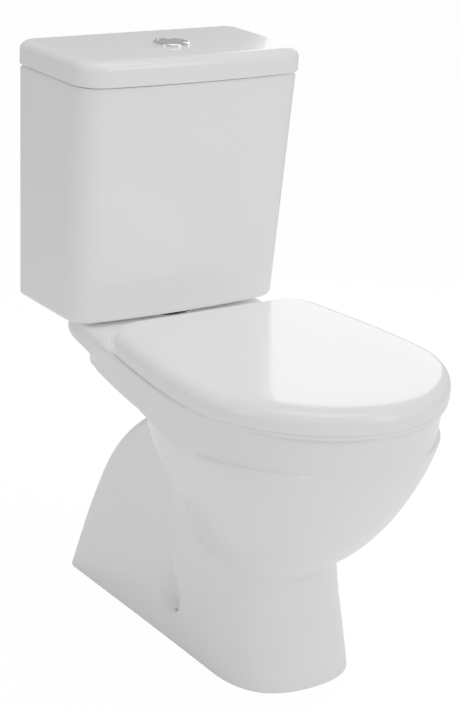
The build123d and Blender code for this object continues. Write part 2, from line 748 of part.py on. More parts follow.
with BuildPart() as flush_valve_cage:
    with BuildSketch(Plane.XY.offset(FLOOR_Z + 7)):
        with Locations((0, FLUSH_Y)):
            Circle(CAGE_R)
            Circle(CAGE_BORE_R, mode=Mode.SUBTRACT)
    extrude(amount=CAGE_TOP - FLOOR_Z - 7)
    with BuildSketch(Plane.XY.offset(CAGE_TOP)):
        with Locations((0, FLUSH_Y)):
            Circle(CAGE_R)
            Circle(17, mode=Mode.SUBTRACT)
    extrude(amount=4)
    # water windows round the foot, tall slots above them
    for turn in (0, 90):
        across = (cos(radians(turn)), sin(radians(turn)), 0)
        outward = (sin(radians(turn)), -cos(radians(turn)), 0)
        side_plane = Plane((0, FLUSH_Y, 0), x_dir=across, z_dir=outward)
        with BuildSketch(side_plane):
            with Locations((0, FLOOR_Z + 27)):
                RectangleRounded(40, 30, 6)
            with Locations((0, SLOT_Z)):
                RectangleRounded(16, 130, 7)
        extrude(amount=60, both=True, mode=Mode.SUBTRACT)
    # bearing ears of the two rockers, in front of and behind the tube
    for side in (-1, 1):
        for ear_y in (FLUSH_Y - side * ROCKER_Y - 5.5, FLUSH_Y - side * ROCKER_Y + 5.5):
            with BuildSketch(Plane.XZ.offset(-ear_y - 1.25)):
                with Locations((0, (CAGE_TOP + ROCKER_TOP) / 2)):
                    Rectangle(9, ROCKER_TOP - CAGE_TOP)
                with Locations((0, PIVOT_Z)):
                    Circle(PIVOT_HOLE_R, mode=Mode.SUBTRACT)
            extrude(amount=2.5)
save(flush_valve_cage.part, "flush_valve_cage")


def rocker(side):
    """See-saw lever that turns a push into a lift."""
    y = FLUSH_Y - side * ROCKER_Y
    with BuildPart() as lever:
        with BuildSketch(Plane.XZ.offset(-y - 3.5)):
            with Locations((0, PIVOT_Z)):
                SlotOverall(2 * ROCKER_ARM + 9, 6)
                Circle(4.4)
                Circle(PIVOT_HOLE_R, mode=Mode.SUBTRACT)
            with Locations((0, ROCKER_TOP + 3)):
                Rectangle(12, 6, mode=Mode.SUBTRACT)
        extrude(amount=7)
    return lever.part


save(rocker(1), "full_flush_rocker")
save(rocker(-1), "half_flush_rocker")

with BuildPart() as rocker_pins:
    for side in (-1, 1):
        with BuildSketch(Plane.XZ.offset(-(FLUSH_Y - side * ROCKER_Y) - 8)):
            with Locations((0, PIVOT_Z)):
                Circle(PIVOT_R)
        extrude(amount=16)
save(rocker_pins.part, "rocker_pins")


def lift_lug(side, bottom_r, top):
    """Arm from the centre to above a rocker's lifting end, with a round toe."""
    toe_x = -side * ROCKER_ARM
    toe_y = FLUSH_Y - side * ROCKER_Y
    toe_z = ROCKER_TOP + ROD_GAP + ROD_R
    reach = (toe_x**2 + ROCKER_Y**2) ** 0.5
    inner = bottom_r / reach
    with BuildPart() as lug:
        with BuildSketch(Plane.XY.offset(top - 4)):
            with BuildLine():
                Line((toe_x * inner, FLUSH_Y - side * ROCKER_Y * inner), (toe_x, toe_y))
            trace(line_width=5)
            with Locations((toe_x, toe_y)):
                Circle(ROD_R)
        extrude(amount=4)
        with BuildSketch(Plane.XY.offset(toe_z)):
            with Locations((toe_x, toe_y)):
                Circle(ROD_R)
        extrude(amount=top - 2 - toe_z)
        with Locations((toe_x, toe_y, toe_z)):
            Sphere(ROD_R)
    return lug.part


with BuildPart() as flush_valve_tube:
    with BuildSketch(Plane.XY.offset(VALVE_SEAT_Z + 3.4)):
        with Locations((0, FLUSH_Y)):
            Circle(TUBE_R)
    extrude(amount=TUBE_TOP - VALVE_SEAT_Z - 3.4)
    with BuildSketch(Plane.XY.offset(VALVE_SEAT_Z + 3.4)):
        with Locations((0, FLUSH_Y)):
            Circle(34)
    extrude(amount=4)
    with BuildSketch(Plane.XY.offset(TUBE_COLLAR_Z)):
        with Locations((0, FLUSH_Y)):
            Circle(15)
    extrude(amount=4)
    add(lift_lug(1, TUBE_R - 1, TUBE_LUG_TOP))
    with BuildSketch(Plane.XY.offset(VALVE_SEAT_Z)):
        with Locations((0, FLUSH_Y)):
            Circle(TUBE_R - 2)
    extrude(amount=TUBE_TOP - VALVE_SEAT_Z, mode=Mode.SUBTRACT)
save(flush_valve_tube.part, "flush_valve_tube")

with BuildPart() as flush_valve_seal:
    with BuildSketch(Plane.XY.offset(VALVE_SEAT_Z + 0.4)):
        with Locations((0, FLUSH_Y)):
            Circle(33)
            Circle(TUBE_R, mode=Mode.SUBTRACT)
    extrude(amount=3)
save(flush_valve_seal.part, "flush_valve_seal")

with BuildPart() as half_flush_sleeve:
    with BuildSketch(Plane.XY.offset(SLEEVE_FOOT)):
        with Locations((0, FLUSH_Y)):
            Circle(16)
    extrude(amount=SLEEVE_TOP - SLEEVE_FOOT)
    with BuildSketch(Plane.XY.offset(SLEEVE_FOOT)):
        with Locations((0, FLUSH_Y)):
            Circle(30)
    extrude(amount=36)
    add(lift_lug(-1, 15, SLEEVE_TOP))
    with BuildSketch(Plane.XY.offset(SLEEVE_FOOT)):
        with Locations((0, FLUSH_Y)):
            Circle(TUBE_R + 0.4)
    extrude(amount=SLEEVE_TOP - SLEEVE_FOOT, mode=Mode.SUBTRACT)
save(half_flush_sleeve.part, "half_flush_sleeve")

PLATE_FOOT = TANK_BOTTOM - 2.5          # underside of the steel coupling plate

with BuildPart() as coupling_plate:
    with BuildSketch(Plane.XY.offset(PLATE_FOOT)):
        with Locations((0, FLUSH_Y)):
            SlotOverall(2 * BOLT_X + 40, 40)
            Circle(41)
            Circle(SHANK_R + THREAD_GAP, mode=Mode.SUBTRACT)
        with Locations((-BOLT_X, FLUSH_Y), (BOLT_X, FLUSH_Y)):
            Circle(5, mode=Mode.SUBTRACT)
    extrude(amount=TANK_BOTTOM - PLATE_FOOT)
save(coupling_plate.part, "coupling_plate")

with BuildPart() as flush_valve_nut:
    with BuildSketch(Plane.XY.offset(VALVE_NUT_BOTTOM)):
        with Locations((0, FLUSH_Y)):
            RegularPolygon(38, 8)
            Circle(SHANK_R + THREAD_GAP, mode=Mode.SUBTRACT)
    extrude(amount=PLATE_FOOT - VALVE_NUT_BOTTOM)
save(flush_valve_nut.part, "flush_valve_nut")

with BuildPart() as coupling_gasket:
    with BuildSketch(Plane.XY.offset(INLET_FLOOR)):
        with Locations((0, FLUSH_Y)):
            Circle(INLET_R - 0.4)
            Circle(38.4, mode=Mode.SUBTRACT)
    extrude(amount=PLATE_FOOT - INLET_FLOOR)
save(coupling_gasket.part, "coupling_gasket")


# ---- cistern bolts ------------------------------------------------------------------
CISTERN_BOLT_BOTTOM = 356.0

with BuildPart() as cistern_bolts:
    for side in (-1, 1):
        with BuildSketch(Plane.XY.offset(CISTERN_BOLT_BOTTOM)):
            with Locations((side * BOLT_X, FLUSH_Y)):
                Circle(CISTERN_BOLT_R)
        extrude(amount=FLOOR_Z + 5 - CISTERN_BOLT_BOTTOM)
        with BuildSketch(Plane.XY.offset(FLOOR_Z + 4)):
            with Locations((side * BOLT_X, FLUSH_Y)):
                Circle(10)
        extrude(amount=5)
        with BuildSketch(Plane.XY.offset(FLOOR_Z + 7)):
            with Locations((side * BOLT_X, FLUSH_Y)):
                Rectangle(16, 2)
        extrude(amount=3, mode=Mode.SUBTRACT)
save(cistern_bolts.part, "cistern_bolts")


def bolt_rings(z, outer):
    """A washer on each cistern bolt."""
    with BuildPart() as rings:
        for side in (-1, 1):
            with BuildSketch(Plane.XY.offset(z)):
                with Locations((side * BOLT_X, FLUSH_Y)):
                    Circle(outer)
                    Circle(CISTERN_BOLT_R + THREAD_GAP, mode=Mode.SUBTRACT)
            extrude(amount=WASHER_THICK)
    return rings.part


save(bolt_rings(FLOOR_Z, 13), "cistern_bolt_seals")
save(bolt_rings(NUT_POCKET_TOP - WASHER_THICK, 14), "cistern_bolt_washers")
cistern_nuts = wing_nuts(BOLT_X, FLUSH_Y, NUT_POCKET_TOP - WASHER_THICK, CISTERN_BOLT_R + THREAD_GAP)
save(cistern_nuts, "cistern_wing_nuts")


# ---- fill valve ---------------------------------------------------------------------
TAIL_R = 10.45                # G 1/2 thread below the nut
TAIL_BOTTOM = 375.0
FILL_SHANK_R = 10.65          # through the cistern's floor
FILL_NUT_BOTTOM = TANK_BOTTOM - 10
RISER_R = 9.0
HEAD_Z = 672.0
FLOAT_Z = 590.0
FLOAT_ARM_Z = FLOAT_Z + 40
LEVER_ARM = 36.0
PIVOT_X = FILL_X - 20         # the lever's pin
FLOAT_ROD_X = PIVOT_X - LEVER_ARM
LEVER_Z = 684.0

with BuildPart() as fill_valve_body:
    with BuildSketch(Plane.XY.offset(TAIL_BOTTOM)):
        with Locations((FILL_X, FILL_Y)):
            Circle(TAIL_R)
    extrude(amount=FILL_NUT_BOTTOM - TAIL_BOTTOM)
    with BuildSketch(Plane.XY.offset(FILL_NUT_BOTTOM)):
        with Locations((FILL_X, FILL_Y)):
            Circle(FILL_SHANK_R)
    extrude(amount=FLOOR_Z + 8 - FILL_NUT_BOTTOM)
    with BuildSketch(Plane.XY.offset(FLOOR_Z + 3)):
        with Locations((FILL_X, FILL_Y)):
            Circle(17)
    extrude(amount=5)
    with BuildSketch(Plane.XY.offset(FLOOR_Z + 6)):
        with Locations((FILL_X, FILL_Y)):
            Circle(RISER_R)
    extrude(amount=HEAD_Z - FLOOR_Z)
    with BuildSketch(Plane.XY.offset(HEAD_Z)):
        with Locations((FILL_X, FILL_Y)):
            Circle(15)
    extrude(amount=20)
    # outlet spout and the fork that carries the lever
    with BuildSketch(Plane.XZ.offset(-FILL_Y - 9)):
        with Locations((FILL_X - 17, HEAD_Z + 10)):
            Rectangle(16, 20)
    extrude(amount=18)
    with BuildSketch(Plane.XZ.offset(-FILL_Y - 3.6)):
        with Locations((FILL_X - 21, LEVER_Z)):
            Rectangle(12, 18)
    extrude(amount=7.2, mode=Mode.SUBTRACT)
    with BuildSketch(Plane.XZ.offset(-FILL_Y - 12)):
        with Locations((PIVOT_X, LEVER_Z)):
            Circle(PIVOT_HOLE_R)
    extrude(amount=24, mode=Mode.SUBTRACT)
    with BuildSketch(Plane.XY.offset(TAIL_BOTTOM)):
        with Locations((FILL_X, FILL_Y)):
            Circle(6)
    extrude(amount=HEAD_Z - TAIL_BOTTOM, mode=Mode.SUBTRACT)
save(fill_valve_body.part, "fill_valve_body")

with BuildPart() as fill_valve_cap:
    with BuildSketch(Plane.XY.offset(HEAD_Z + 20)):
        with Locations((FILL_X, FILL_Y)):
            Circle(15.5)
    extrude(amount=7)
    fillet(fill_valve_cap.edges().group_by(Axis.Z)[-1], 2)
save(fill_valve_cap.part, "fill_valve_cap")

with BuildPart() as fill_valve_washer:
    with BuildSketch(Plane.XY.offset(FLOOR_Z)):
        with Locations((FILL_X, FILL_Y)):
            Circle(16)
            Circle(FILL_SHANK_R + 0.02, mode=Mode.SUBTRACT)
    extrude(amount=3)
save(fill_valve_washer.part, "fill_valve_washer")

with BuildPart() as fill_valve_nut:
    with BuildSketch(Plane.XY.offset(FILL_NUT_BOTTOM)):
        with Locations((FILL_X, FILL_Y)):
            RegularPolygon(15, 6)
            Circle(FILL_SHANK_R + 0.02, mode=Mode.SUBTRACT)
    extrude(amount=TANK_BOTTOM - FILL_NUT_BOTTOM)
save(fill_valve_nut.part, "fill_valve_nut")

with BuildPart() as fill_valve_float:
    with BuildSketch(Plane.XY.offset(FLOAT_Z)):
        with Locations((FILL_X, FILL_Y)):
            Circle(23)
    extrude(amount=52)
    fillet(fill_valve_float.edges(), 3)
    with BuildSketch(Plane.XY.offset(FLOAT_Z)):
        with Locations((FILL_X, FILL_Y)):
            Circle(RISER_R + 0.5)
    extrude(amount=60, mode=Mode.SUBTRACT)
    with BuildSketch(Plane.XY.offset(FLOAT_ARM_Z)):
        with Locations((FILL_X - 38, FILL_Y)):
            Rectangle(36, 9)
        with Locations((FLOAT_ROD_X, FILL_Y)):
            Circle(6)
            Circle(2.5, mode=Mode.SUBTRACT)
    extrude(amount=6)
save(fill_valve_float.part, "fill_valve_float")

with BuildPart() as float_rod:
    tip_z = LEVER_Z - 2.5 - ROD_GAP - ROD_R
    with BuildSketch(Plane.XY.offset(FLOAT_Z + 30)):
        with Locations((FLOAT_ROD_X, FILL_Y)):
            Circle(ROD_R)
    extrude(amount=tip_z - FLOAT_Z - 30)
    with Locations((FLOAT_ROD_X, FILL_Y, tip_z)):
        Sphere(ROD_R)
    with BuildSketch(Plane.XY.offset(FLOAT_Z + 46)):
        with Locations((FLOAT_ROD_X, FILL_Y)):
            RegularPolygon(5.5, 6)
    extrude(amount=4)
save(float_rod.part, "float_rod")

with BuildPart() as fill_valve_lever:
    with BuildSketch(Plane.XZ.offset(-FILL_Y - 3)):
        with Locations((PIVOT_X - LEVER_ARM / 2, LEVER_Z)):
            SlotOverall(LEVER_ARM + 9, 5)
        with Locations((PIVOT_X, LEVER_Z)):
            Circle(3.5)
            Circle(PIVOT_HOLE_R, mode=Mode.SUBTRACT)
    extrude(amount=6)
save(fill_valve_lever.part, "fill_valve_lever")

with BuildPart() as lever_pin:
    with BuildSketch(Plane.XZ.offset(-FILL_Y - 9)):
        with Locations((PIVOT_X, LEVER_Z)):
            Circle(PIVOT_R)
    extrude(amount=18)
save(lever_pin.part, "lever_pin")
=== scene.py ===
"""Looks of a close coupled toilet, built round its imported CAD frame.

Outlines and heights are worked out in millimetres and written to the meshes in metres.
"""

import json
from math import cos, pi, radians, sin, tan

import bmesh
import bpy
import numpy as np
from mathutils import Matrix, Vector


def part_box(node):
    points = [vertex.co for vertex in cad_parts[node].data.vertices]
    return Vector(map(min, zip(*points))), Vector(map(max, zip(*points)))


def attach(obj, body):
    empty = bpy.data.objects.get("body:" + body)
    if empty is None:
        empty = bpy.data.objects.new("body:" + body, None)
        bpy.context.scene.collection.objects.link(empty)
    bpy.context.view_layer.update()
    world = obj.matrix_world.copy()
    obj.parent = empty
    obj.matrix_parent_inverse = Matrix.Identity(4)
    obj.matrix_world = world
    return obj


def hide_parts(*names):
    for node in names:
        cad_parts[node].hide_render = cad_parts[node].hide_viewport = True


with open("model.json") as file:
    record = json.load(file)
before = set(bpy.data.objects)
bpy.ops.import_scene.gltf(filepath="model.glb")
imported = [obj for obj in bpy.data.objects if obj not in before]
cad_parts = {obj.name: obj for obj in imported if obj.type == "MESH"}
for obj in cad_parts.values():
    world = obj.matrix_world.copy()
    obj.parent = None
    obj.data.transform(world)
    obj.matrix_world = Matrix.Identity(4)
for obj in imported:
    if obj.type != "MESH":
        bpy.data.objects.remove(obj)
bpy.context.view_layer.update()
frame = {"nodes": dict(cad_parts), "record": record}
MM = 0.001
SIDES = (-1, 1)


# ---- sizes read from the frame ------------------------------------------------------
def cad(node):
    """Lowest and highest corner of a CAD node, in millimetres."""
    low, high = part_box(node)
    return [v / MM for v in low], [v / MM for v in high]


PAN_LOW, PAN_HIGH = cad("pan")
TANK_LOW, TANK_HIGH = cad("cistern")
LID_LOW, LID_HIGH = cad("cistern_lid")
COVER_LOW, COVER_HIGH = cad("seat_cover")
RING_LOW, RING_HIGH = cad("seat_ring")
PINS_LOW, PINS_HIGH = cad("seat_hinge_pins")
BEZEL_LOW, BEZEL_HIGH = cad("button_bezel")

WALL_Y = TANK_HIGH[1]
DECK_TOP = PAN_HIGH[2]
RIM_TOP = DECK_TOP - 9
RIM_TIP = PAN_LOW[1] + 0.2
BAND_BOTTOM = RIM_TOP - 48
BAND_LOWEST = BAND_BOTTOM - 5.5      # at the front; the lower edge rises towards the back
BAND_HALF = 184.0
DECK_HALF = 150.0
HINGE_Y = (PINS_LOW[1] + PINS_HIGH[1]) / 2
HINGE_Z = (PINS_LOW[2] + PINS_HIGH[2]) / 2
HINGE_X = 77.5
FLUSH_Y = (BEZEL_LOW[1] + BEZEL_HIGH[1]) / 2
BOLT_X = 80.0
FILL_X, FILL_Y = 136.0, 288.0
SCREW_X, SCREW_Y = 84.0, 10.0
OUTLET_Y = WALL_Y - 140


# ---- curves -------------------------------------------------------------------------
def smooth(x, low, high):
    """0 below low, 1 above high, an S between them."""
    t = np.clip((np.asarray(x, float) - low) / (high - low), 0, 1)
    return t * t * (3 - 2 * t)


def spline(knots):
    """Natural cubic spline through (x, y) knots, as a function of x."""
    x, y = (np.array(v, float) for v in zip(*sorted(knots)))
    h = np.diff(x)
    count = len(x)
    system = np.eye(count)
    right = np.zeros(count)
    for i in range(1, count - 1):
        system[i, i - 1 : i + 2] = h[i - 1], 2 * (h[i - 1] + h[i]), h[i]
        right[i] = 6 * ((y[i + 1] - y[i]) / h[i] - (y[i] - y[i - 1]) / h[i - 1])
    bend = np.linalg.solve(system, right)

    def value(at):
        i = int(np.clip(np.searchsorted(x, at) - 1, 0, count - 2))
        a, b = x[i + 1] - at, at - x[i]
        cubic = (bend[i] * a**3 + bend[i + 1] * b**3) / (6 * h[i])
        line = (y[i] / h[i] - bend[i] * h[i] / 6) * a + (y[i + 1] / h[i] - bend[i + 1] * h[i] / 6) * b
        return cubic + line

    return value


def bezier(points, count):
    """count points of a cubic curve, without its last one."""
    t = np.linspace(0, 1, count, endpoint=False)[:, None]
    a, b, c, d = (np.array(p, float) for p in points)
    return a * (1 - t) ** 3 + 3 * b * t * (1 - t) ** 2 + 3 * c * t * t * (1 - t) + d * t**3


def arc(centre, radius, start, end, count):
    """count points of a circle from angle start to end in degrees, without the last one."""
    a = np.radians(np.linspace(start, end, count, endpoint=False))
    return np.column_stack((centre[0] + radius * np.cos(a), centre[1] + radius * np.sin(a)))


def line(a, b, count):
    t = np.linspace(0, 1, count, endpoint=False)[:, None]
    return np.array(a, float) * (1 - t) + np.array(b, float) * t


def mirrored(half):
    """Closes a right-hand half outline, from front centre to back centre, with its mirror image."""
    left = half[1:-1][::-1] * (-1, 1)
    return np.vstack((half, left))


def d_outline(half, tip, wide_y, rear_y, rear_half, roundness, corner, counts=(64, 48, 14, 24)):
    """Round nose at tip, widest at wide_y, straight back with rounded corners."""
    pull = (8 * roundness - 4) / 3
    third = (rear_y - wide_y) / 3
    nose = bezier(
        ((0, tip), (half * pull, tip), (half, wide_y + (tip - wide_y) * pull), (half, wide_y)), counts[0]
    )
    lean = rear_half + 0.52 * (half - rear_half)
    side = bezier(((half, wide_y), (half, wide_y + third), (lean, rear_y - third), (rear_half, rear_y)), 240)
    side = np.vstack((side, (rear_half, rear_y)))
    run = np.concatenate(((0,), np.cumsum(np.hypot(*np.diff(side, axis=0).T))))
    heading = np.array((rear_half - lean, third))
    heading /= np.hypot(*heading)
    turn = pi - np.arccos(heading[0])
    cut = corner * tan((pi - turn) / 2) if corner else 0.01
    at = np.linspace(0, run[-1] - cut, counts[1], endpoint=False)
    flank = np.column_stack([np.interp(at, run, side[:, i]) for i in (0, 1)])
    start = np.array([np.interp(run[-1] - cut, run, side[:, i]) for i in (0, 1)])
    end = np.array((rear_half - cut, rear_y))
    handle = 4 / 3 * tan((pi - turn) / 4) * max(corner, 0.01)
    bend = bezier((start, start + heading * handle, end + (handle, 0), end), counts[2])
    back = np.vstack((line(end, (0, rear_y), counts[3]), (0, rear_y)))
    return mirrored(np.vstack((nose, flank, bend, back)))


def tank_outline(half, front, bow, front_r, rear_r, rear=WALL_Y):
    """Flat back, slightly swollen front: the plan of the cistern and of its lid."""
    big = (half**2 + bow**2) / (2 * bow)
    corner_y = front + big - ((big - front_r) ** 2 - (half - front_r) ** 2) ** 0.5
    lead = np.degrees(np.arctan2(corner_y - (front + big), half - front_r))
    swell = arc((0, front + big), big, -90, lead, 40)
    nose = arc((half - front_r, corner_y), front_r, lead, 0, 20)
    side = line((half, corner_y), (half, rear - rear_r), 26)
    tail = arc((half - rear_r, rear - rear_r), rear_r, 0, 90, 10)
    back = np.vstack((line((half - rear_r, rear), (0, rear), 24), (0, rear)))
    return mirrored(np.vstack((swell, nose, side, tail, back)))


def radii(outline, centre_y, angles):
    """Distance from (0, centre_y) to a star-shaped outline at each angle."""
    x, y = outline[:, 0], outline[:, 1] - centre_y
    return np.interp(angles, np.arctan2(y, x), np.hypot(x, y), period=2 * pi)


# ---- meshes -------------------------------------------------------------------------
def ring(outline, z):
    """An outline at height z, in mm; z may differ from point to point."""
    return np.column_stack((outline, np.broadcast_to(z, len(outline))))


def new_piece(name, body, material, replaces=()):
    mesh = bpy.data.meshes.new(name)
    piece = bpy.data.objects.new(name, mesh)
    bpy.context.collection.objects.link(piece)
    mesh.materials.append(material)
    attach(piece, body)
    if replaces:
        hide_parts(*replaces)
    return piece


def skin(rings, loop=False, cap_first=False, cap_last=False):
    """Vertices and faces of a surface through rings of equal count."""
    count = len(rings[0])
    verts = [tuple(v) for r in rings for v in np.asarray(r) * MM]
    spans = [(k, k + 1) for k in range(len(rings) - 1)]
    if loop:
        spans.append((len(rings) - 1, 0))
    faces = []
    for a, b in spans:
        for i in range(count):
            j = (i + 1) % count
            faces.append((a * count + i, a * count + j, b * count + j, b * count + i))
    for wanted, index in ((cap_first, 0), (cap_last, len(rings) - 1)):
        if wanted:
            hub = len(verts)
            verts.append(tuple(np.mean(rings[index], axis=0) * MM))
            faces += [(hub, index * count + i, index * count + (i + 1) % count) for i in range(count)]
    return verts, faces


def fill(piece, *parts):
    """Writes one or more surfaces into a piece, faces outward and shaded smooth."""
    bm = bmesh.new()
    for verts, faces in parts:
        made = [bm.verts.new(v) for v in verts]
        for face in faces:
            bm.faces.new([made[i] for i in face])
    bmesh.ops.recalc_face_normals(bm, faces=bm.faces)
    for face in bm.faces:
        face.smooth = True
    bm.to_mesh(piece.data)
    bm.free()
    return piece


def cutter(*parts):
    mesh = bpy.data.meshes.new("cutter")
    tool = bpy.data.objects.new("cutter", mesh)
    bpy.context.collection.objects.link(tool)
    return fill(tool, *parts)


def cut(piece, *parts):
    """Cuts closed surfaces out of a piece and applies the result."""
    tool = cutter(*parts)
    boolean = piece.modifiers.new("cut", "BOOLEAN")
    boolean.operation = "DIFFERENCE"
    boolean.solver = "EXACT"
    boolean.object = tool
    depsgraph = bpy.context.evaluated_depsgraph_get()
    mesh = bpy.data.meshes.new_from_object(piece.evaluated_get(depsgraph))
    piece.modifiers.clear()
    piece.data = mesh
    bpy.data.objects.remove(tool)


def sharpen(piece, degrees=38):
    """Marks creases sharper than the given angle, so that cut edges stay crisp."""
    bm = bmesh.new()
    bm.from_mesh(piece.data)
    for edge in bm.edges:
        if len(edge.link_faces) == 2:
            edge.smooth = edge.calc_face_angle(0) < radians(degrees)
    bm.to_mesh(piece.data)
    bm.free()


def tube(x, y, radius, low, high, count=48):
    """Closed upright cylinder, used to cut holes."""
    circle = arc((x, y), radius, 0, 360, count)
    return skin([ring(circle, low), ring(circle, high)], cap_first=True, cap_last=True)


def rounded_block(x, y, z, corner=4.0, count=6):
    """Closed block over the spans x, y and z, with upright edges rounded."""
    corners = ((x[1], y[0], -90), (x[1], y[1], 0), (x[0], y[1], 90), (x[0], y[0], 180))
    loops = []
    for px, py, start in corners:
        cx = px - corner if px == x[1] else px + corner
        cy = py - corner if py == y[1] else py + corner
        loops.append(arc((cx, cy), corner, start, start + 90.001, count + 1))
    outline = np.vstack(loops)
    return skin([ring(outline, z[0]), ring(outline, z[1])], cap_first=True, cap_last=True)


# ---- materials ----------------------------------------------------------------------
def shader(name, colour, roughness, **constants):
    """Principled material, with constants set on the shader's own sockets."""
    material = bpy.data.materials.new(name)
    material.use_nodes = True
    principled = material.node_tree.nodes["Principled BSDF"]
    principled.inputs["Base Color"].default_value = (*colour, 1)
    principled.inputs["Roughness"].default_value = roughness
    for socket, value in constants.items():
        principled.inputs[socket.replace("_", " ")].default_value = value
    return material, material.node_tree, principled


def noise(tree, scale, detail=3.0, stretch=(1, 1, 1)):
    nodes, links = tree.nodes, tree.links
    place = nodes.new("ShaderNodeTexCoord")
    mapping = nodes.new("ShaderNodeMapping")
    mapping.inputs["Scale"].default_value = stretch
    texture = nodes.new("ShaderNodeTexNoise")
    texture.inputs["Scale"].default_value = scale
    texture.inputs["Detail"].default_value = detail
    links.new(place.outputs["Object"], mapping.inputs["Vector"])
    links.new(mapping.outputs["Vector"], texture.inputs["Vector"])
    return texture.outputs["Fac"]


def spread(tree, factor, low, high, target):
    """Links a noise to a number socket, spread over low to high."""
    span = tree.nodes.new("ShaderNodeMapRange")
    span.inputs["From Min"].default_value = 0.3
    span.inputs["From Max"].default_value = 0.7
    span.inputs["To Min"].default_value = low
    span.inputs["To Max"].default_value = high
    tree.links.new(factor, span.inputs["Value"])
    tree.links.new(span.outputs["Result"], target)


def tint(tree, factor, dark, light, target):
    """Links a noise to a colour socket, between two colours."""
    ramp = tree.nodes.new("ShaderNodeValToRGB")
    ramp.color_ramp.elements[0].position = 0.3
    ramp.color_ramp.elements[0].color = (*dark, 1)
    ramp.color_ramp.elements[1].position = 0.7
    ramp.color_ramp.elements[1].color = (*light, 1)
    tree.links.new(factor, ramp.inputs["Fac"])
    tree.links.new(ramp.outputs["Color"], target)


def bump(tree, factor, strength, distance, principled):
    relief = tree.nodes.new("ShaderNodeBump")
    relief.inputs["Strength"].default_value = strength
    relief.inputs["Distance"].default_value = distance
    tree.links.new(factor, relief.inputs["Height"])
    tree.links.new(relief.outputs["Normal"], principled.inputs["Normal"])


def glazed_ceramic():
    """Vitreous china: a clear glaze with a faint ripple over a warm white body."""
    glaze = {"Coat_Weight": 0.6, "Coat_Roughness": 0.03, "Coat_IOR": 1.5}
    dark, light = (0.845, 0.848, 0.842), (0.87, 0.87, 0.865)
    material, tree, principled = shader("glazed_ceramic", (0.86, 0.86, 0.85), 0.16, IOR=1.52, **glaze)
    tint(tree, noise(tree, 5.0, 2), dark, light, principled.inputs["Base Color"])
    spread(tree, noise(tree, 22.0, 4), 0.13, 0.2, principled.inputs["Roughness"])
    bump(tree, noise(tree, 38.0, 2), 0.06, 0.0012, principled)
    return material


def gloss_plastic():
    """Moulded thermoset seat: smoother and a shade whiter than the china."""
    polish = {"Coat_Weight": 0.35, "Coat_Roughness": 0.05}
    dark, light = (0.872, 0.878, 0.88), (0.888, 0.892, 0.896)
    material, tree, principled = shader("gloss_plastic", (0.88, 0.885, 0.89), 0.2, IOR=1.5, **polish)
    tint(tree, noise(tree, 7.0, 2), dark, light, principled.inputs["Base Color"])
    spread(tree, noise(tree, 60.0, 4), 0.16, 0.24, principled.inputs["Roughness"])
    bump(tree, noise(tree, 220.0, 3), 0.03, 0.0003, principled)
    return material


def metal(name, dark, light, rough, stretch, relief):
    material, tree, principled = shader(name, light, rough[0], Metallic=1.0)
    tint(tree, noise(tree, 120.0, 3, stretch), dark, light, principled.inputs["Base Color"])
    spread(tree, noise(tree, 260.0, 4, stretch), rough[0], rough[1], principled.inputs["Roughness"])
    bump(tree, noise(tree, 500.0, 3, stretch), relief, 0.0001, principled)
    return material


def moulded(name, dark, light, rough, grain, relief):
    """Moulded plastic or rubber with a fine grain."""
    material, tree, principled = shader(name, light, rough[0], IOR=1.48)
    tint(tree, noise(tree, 30.0, 3), dark, light, principled.inputs["Base Color"])
    spread(tree, noise(tree, grain / 2, 4), rough[0], rough[1], principled.inputs["Roughness"])
    bump(tree, noise(tree, grain, 4), relief, 0.0002, principled)
    return material


MATERIALS = {
    "ceramic": glazed_ceramic(),
    "seat_plastic": gloss_plastic(),
    "chrome": metal("chrome_plate", (0.74, 0.75, 0.76), (0.84, 0.84, 0.85), (0.05, 0.1), (1, 1, 1), 0.02),
    "steel": metal("brushed_steel", (0.5, 0.5, 0.51), (0.66, 0.66, 0.66), (0.25, 0.38), (1, 1, 14), 0.1),
    "rubber": moulded("black_rubber", (0.03, 0.03, 0.032), (0.055, 0.055, 0.058), (0.6, 0.8), 700, 0.25),
    "buffer_rubber": moulded("pale_rubber", (0.66, 0.66, 0.65), (0.74, 0.74, 0.73), (0.5, 0.65), 600, 0.2),
    "nylon": moulded("nylon", (0.76, 0.76, 0.73), (0.83, 0.83, 0.8), (0.35, 0.5), 400, 0.12),
    "valve_plastic": moulded("white_acetal", (0.76, 0.78, 0.79), (0.83, 0.84, 0.85), (0.3, 0.42), 350, 0.08),
    "valve_blue": moulded("blue_acetal", (0.05, 0.16, 0.42), (0.07, 0.21, 0.5), (0.3, 0.42), 350, 0.08),
}


def dress_cad_nodes():
    """Gives every CAD node the procedural material of its slot in the record."""
    for entry in frame["record"]["subparts"]:
        node = frame["nodes"].get(entry["node"])
        if node is None:
            continue
        materials = node.data.materials
        for i in range(max(1, len(materials))):
            if len(materials) <= i:
                materials.append(MATERIALS[entry["material_slot"]])
            else:
                materials[i] = MATERIALS[entry["material_slot"]]


# ---- pan ----------------------------------------------------------------------------
CENTRE_Y = -60.0              # every outer ring of the pan is star-shaped about this point
EDGE_LIFT = 6.6               # how far the rim's edge stands up beside the seat
FRONT_LIFT = 2.4              # and in front of it
BOWL_KEEL = 139.4             # height where the bowl's belly would close
BOWL_CROWN = 404.0
NECK_TOP = 350.0
HOLLOW_TOP = 32.0
MOUTH_Y = -115.0
FINE = (200, 160, 60, 100)    # points along the nose, side, corner and back of an outline
LEDGE_FRONT, LEDGE_BACK = -290.0, -225.0   # the ledge under the band fades out between these
THROAT_R = 27.0
SCREW_HOLE_R = 4.0
DECK_HOLE_R = 6.5
SOCKET_R = 46.0
DUCT_R = 32.0


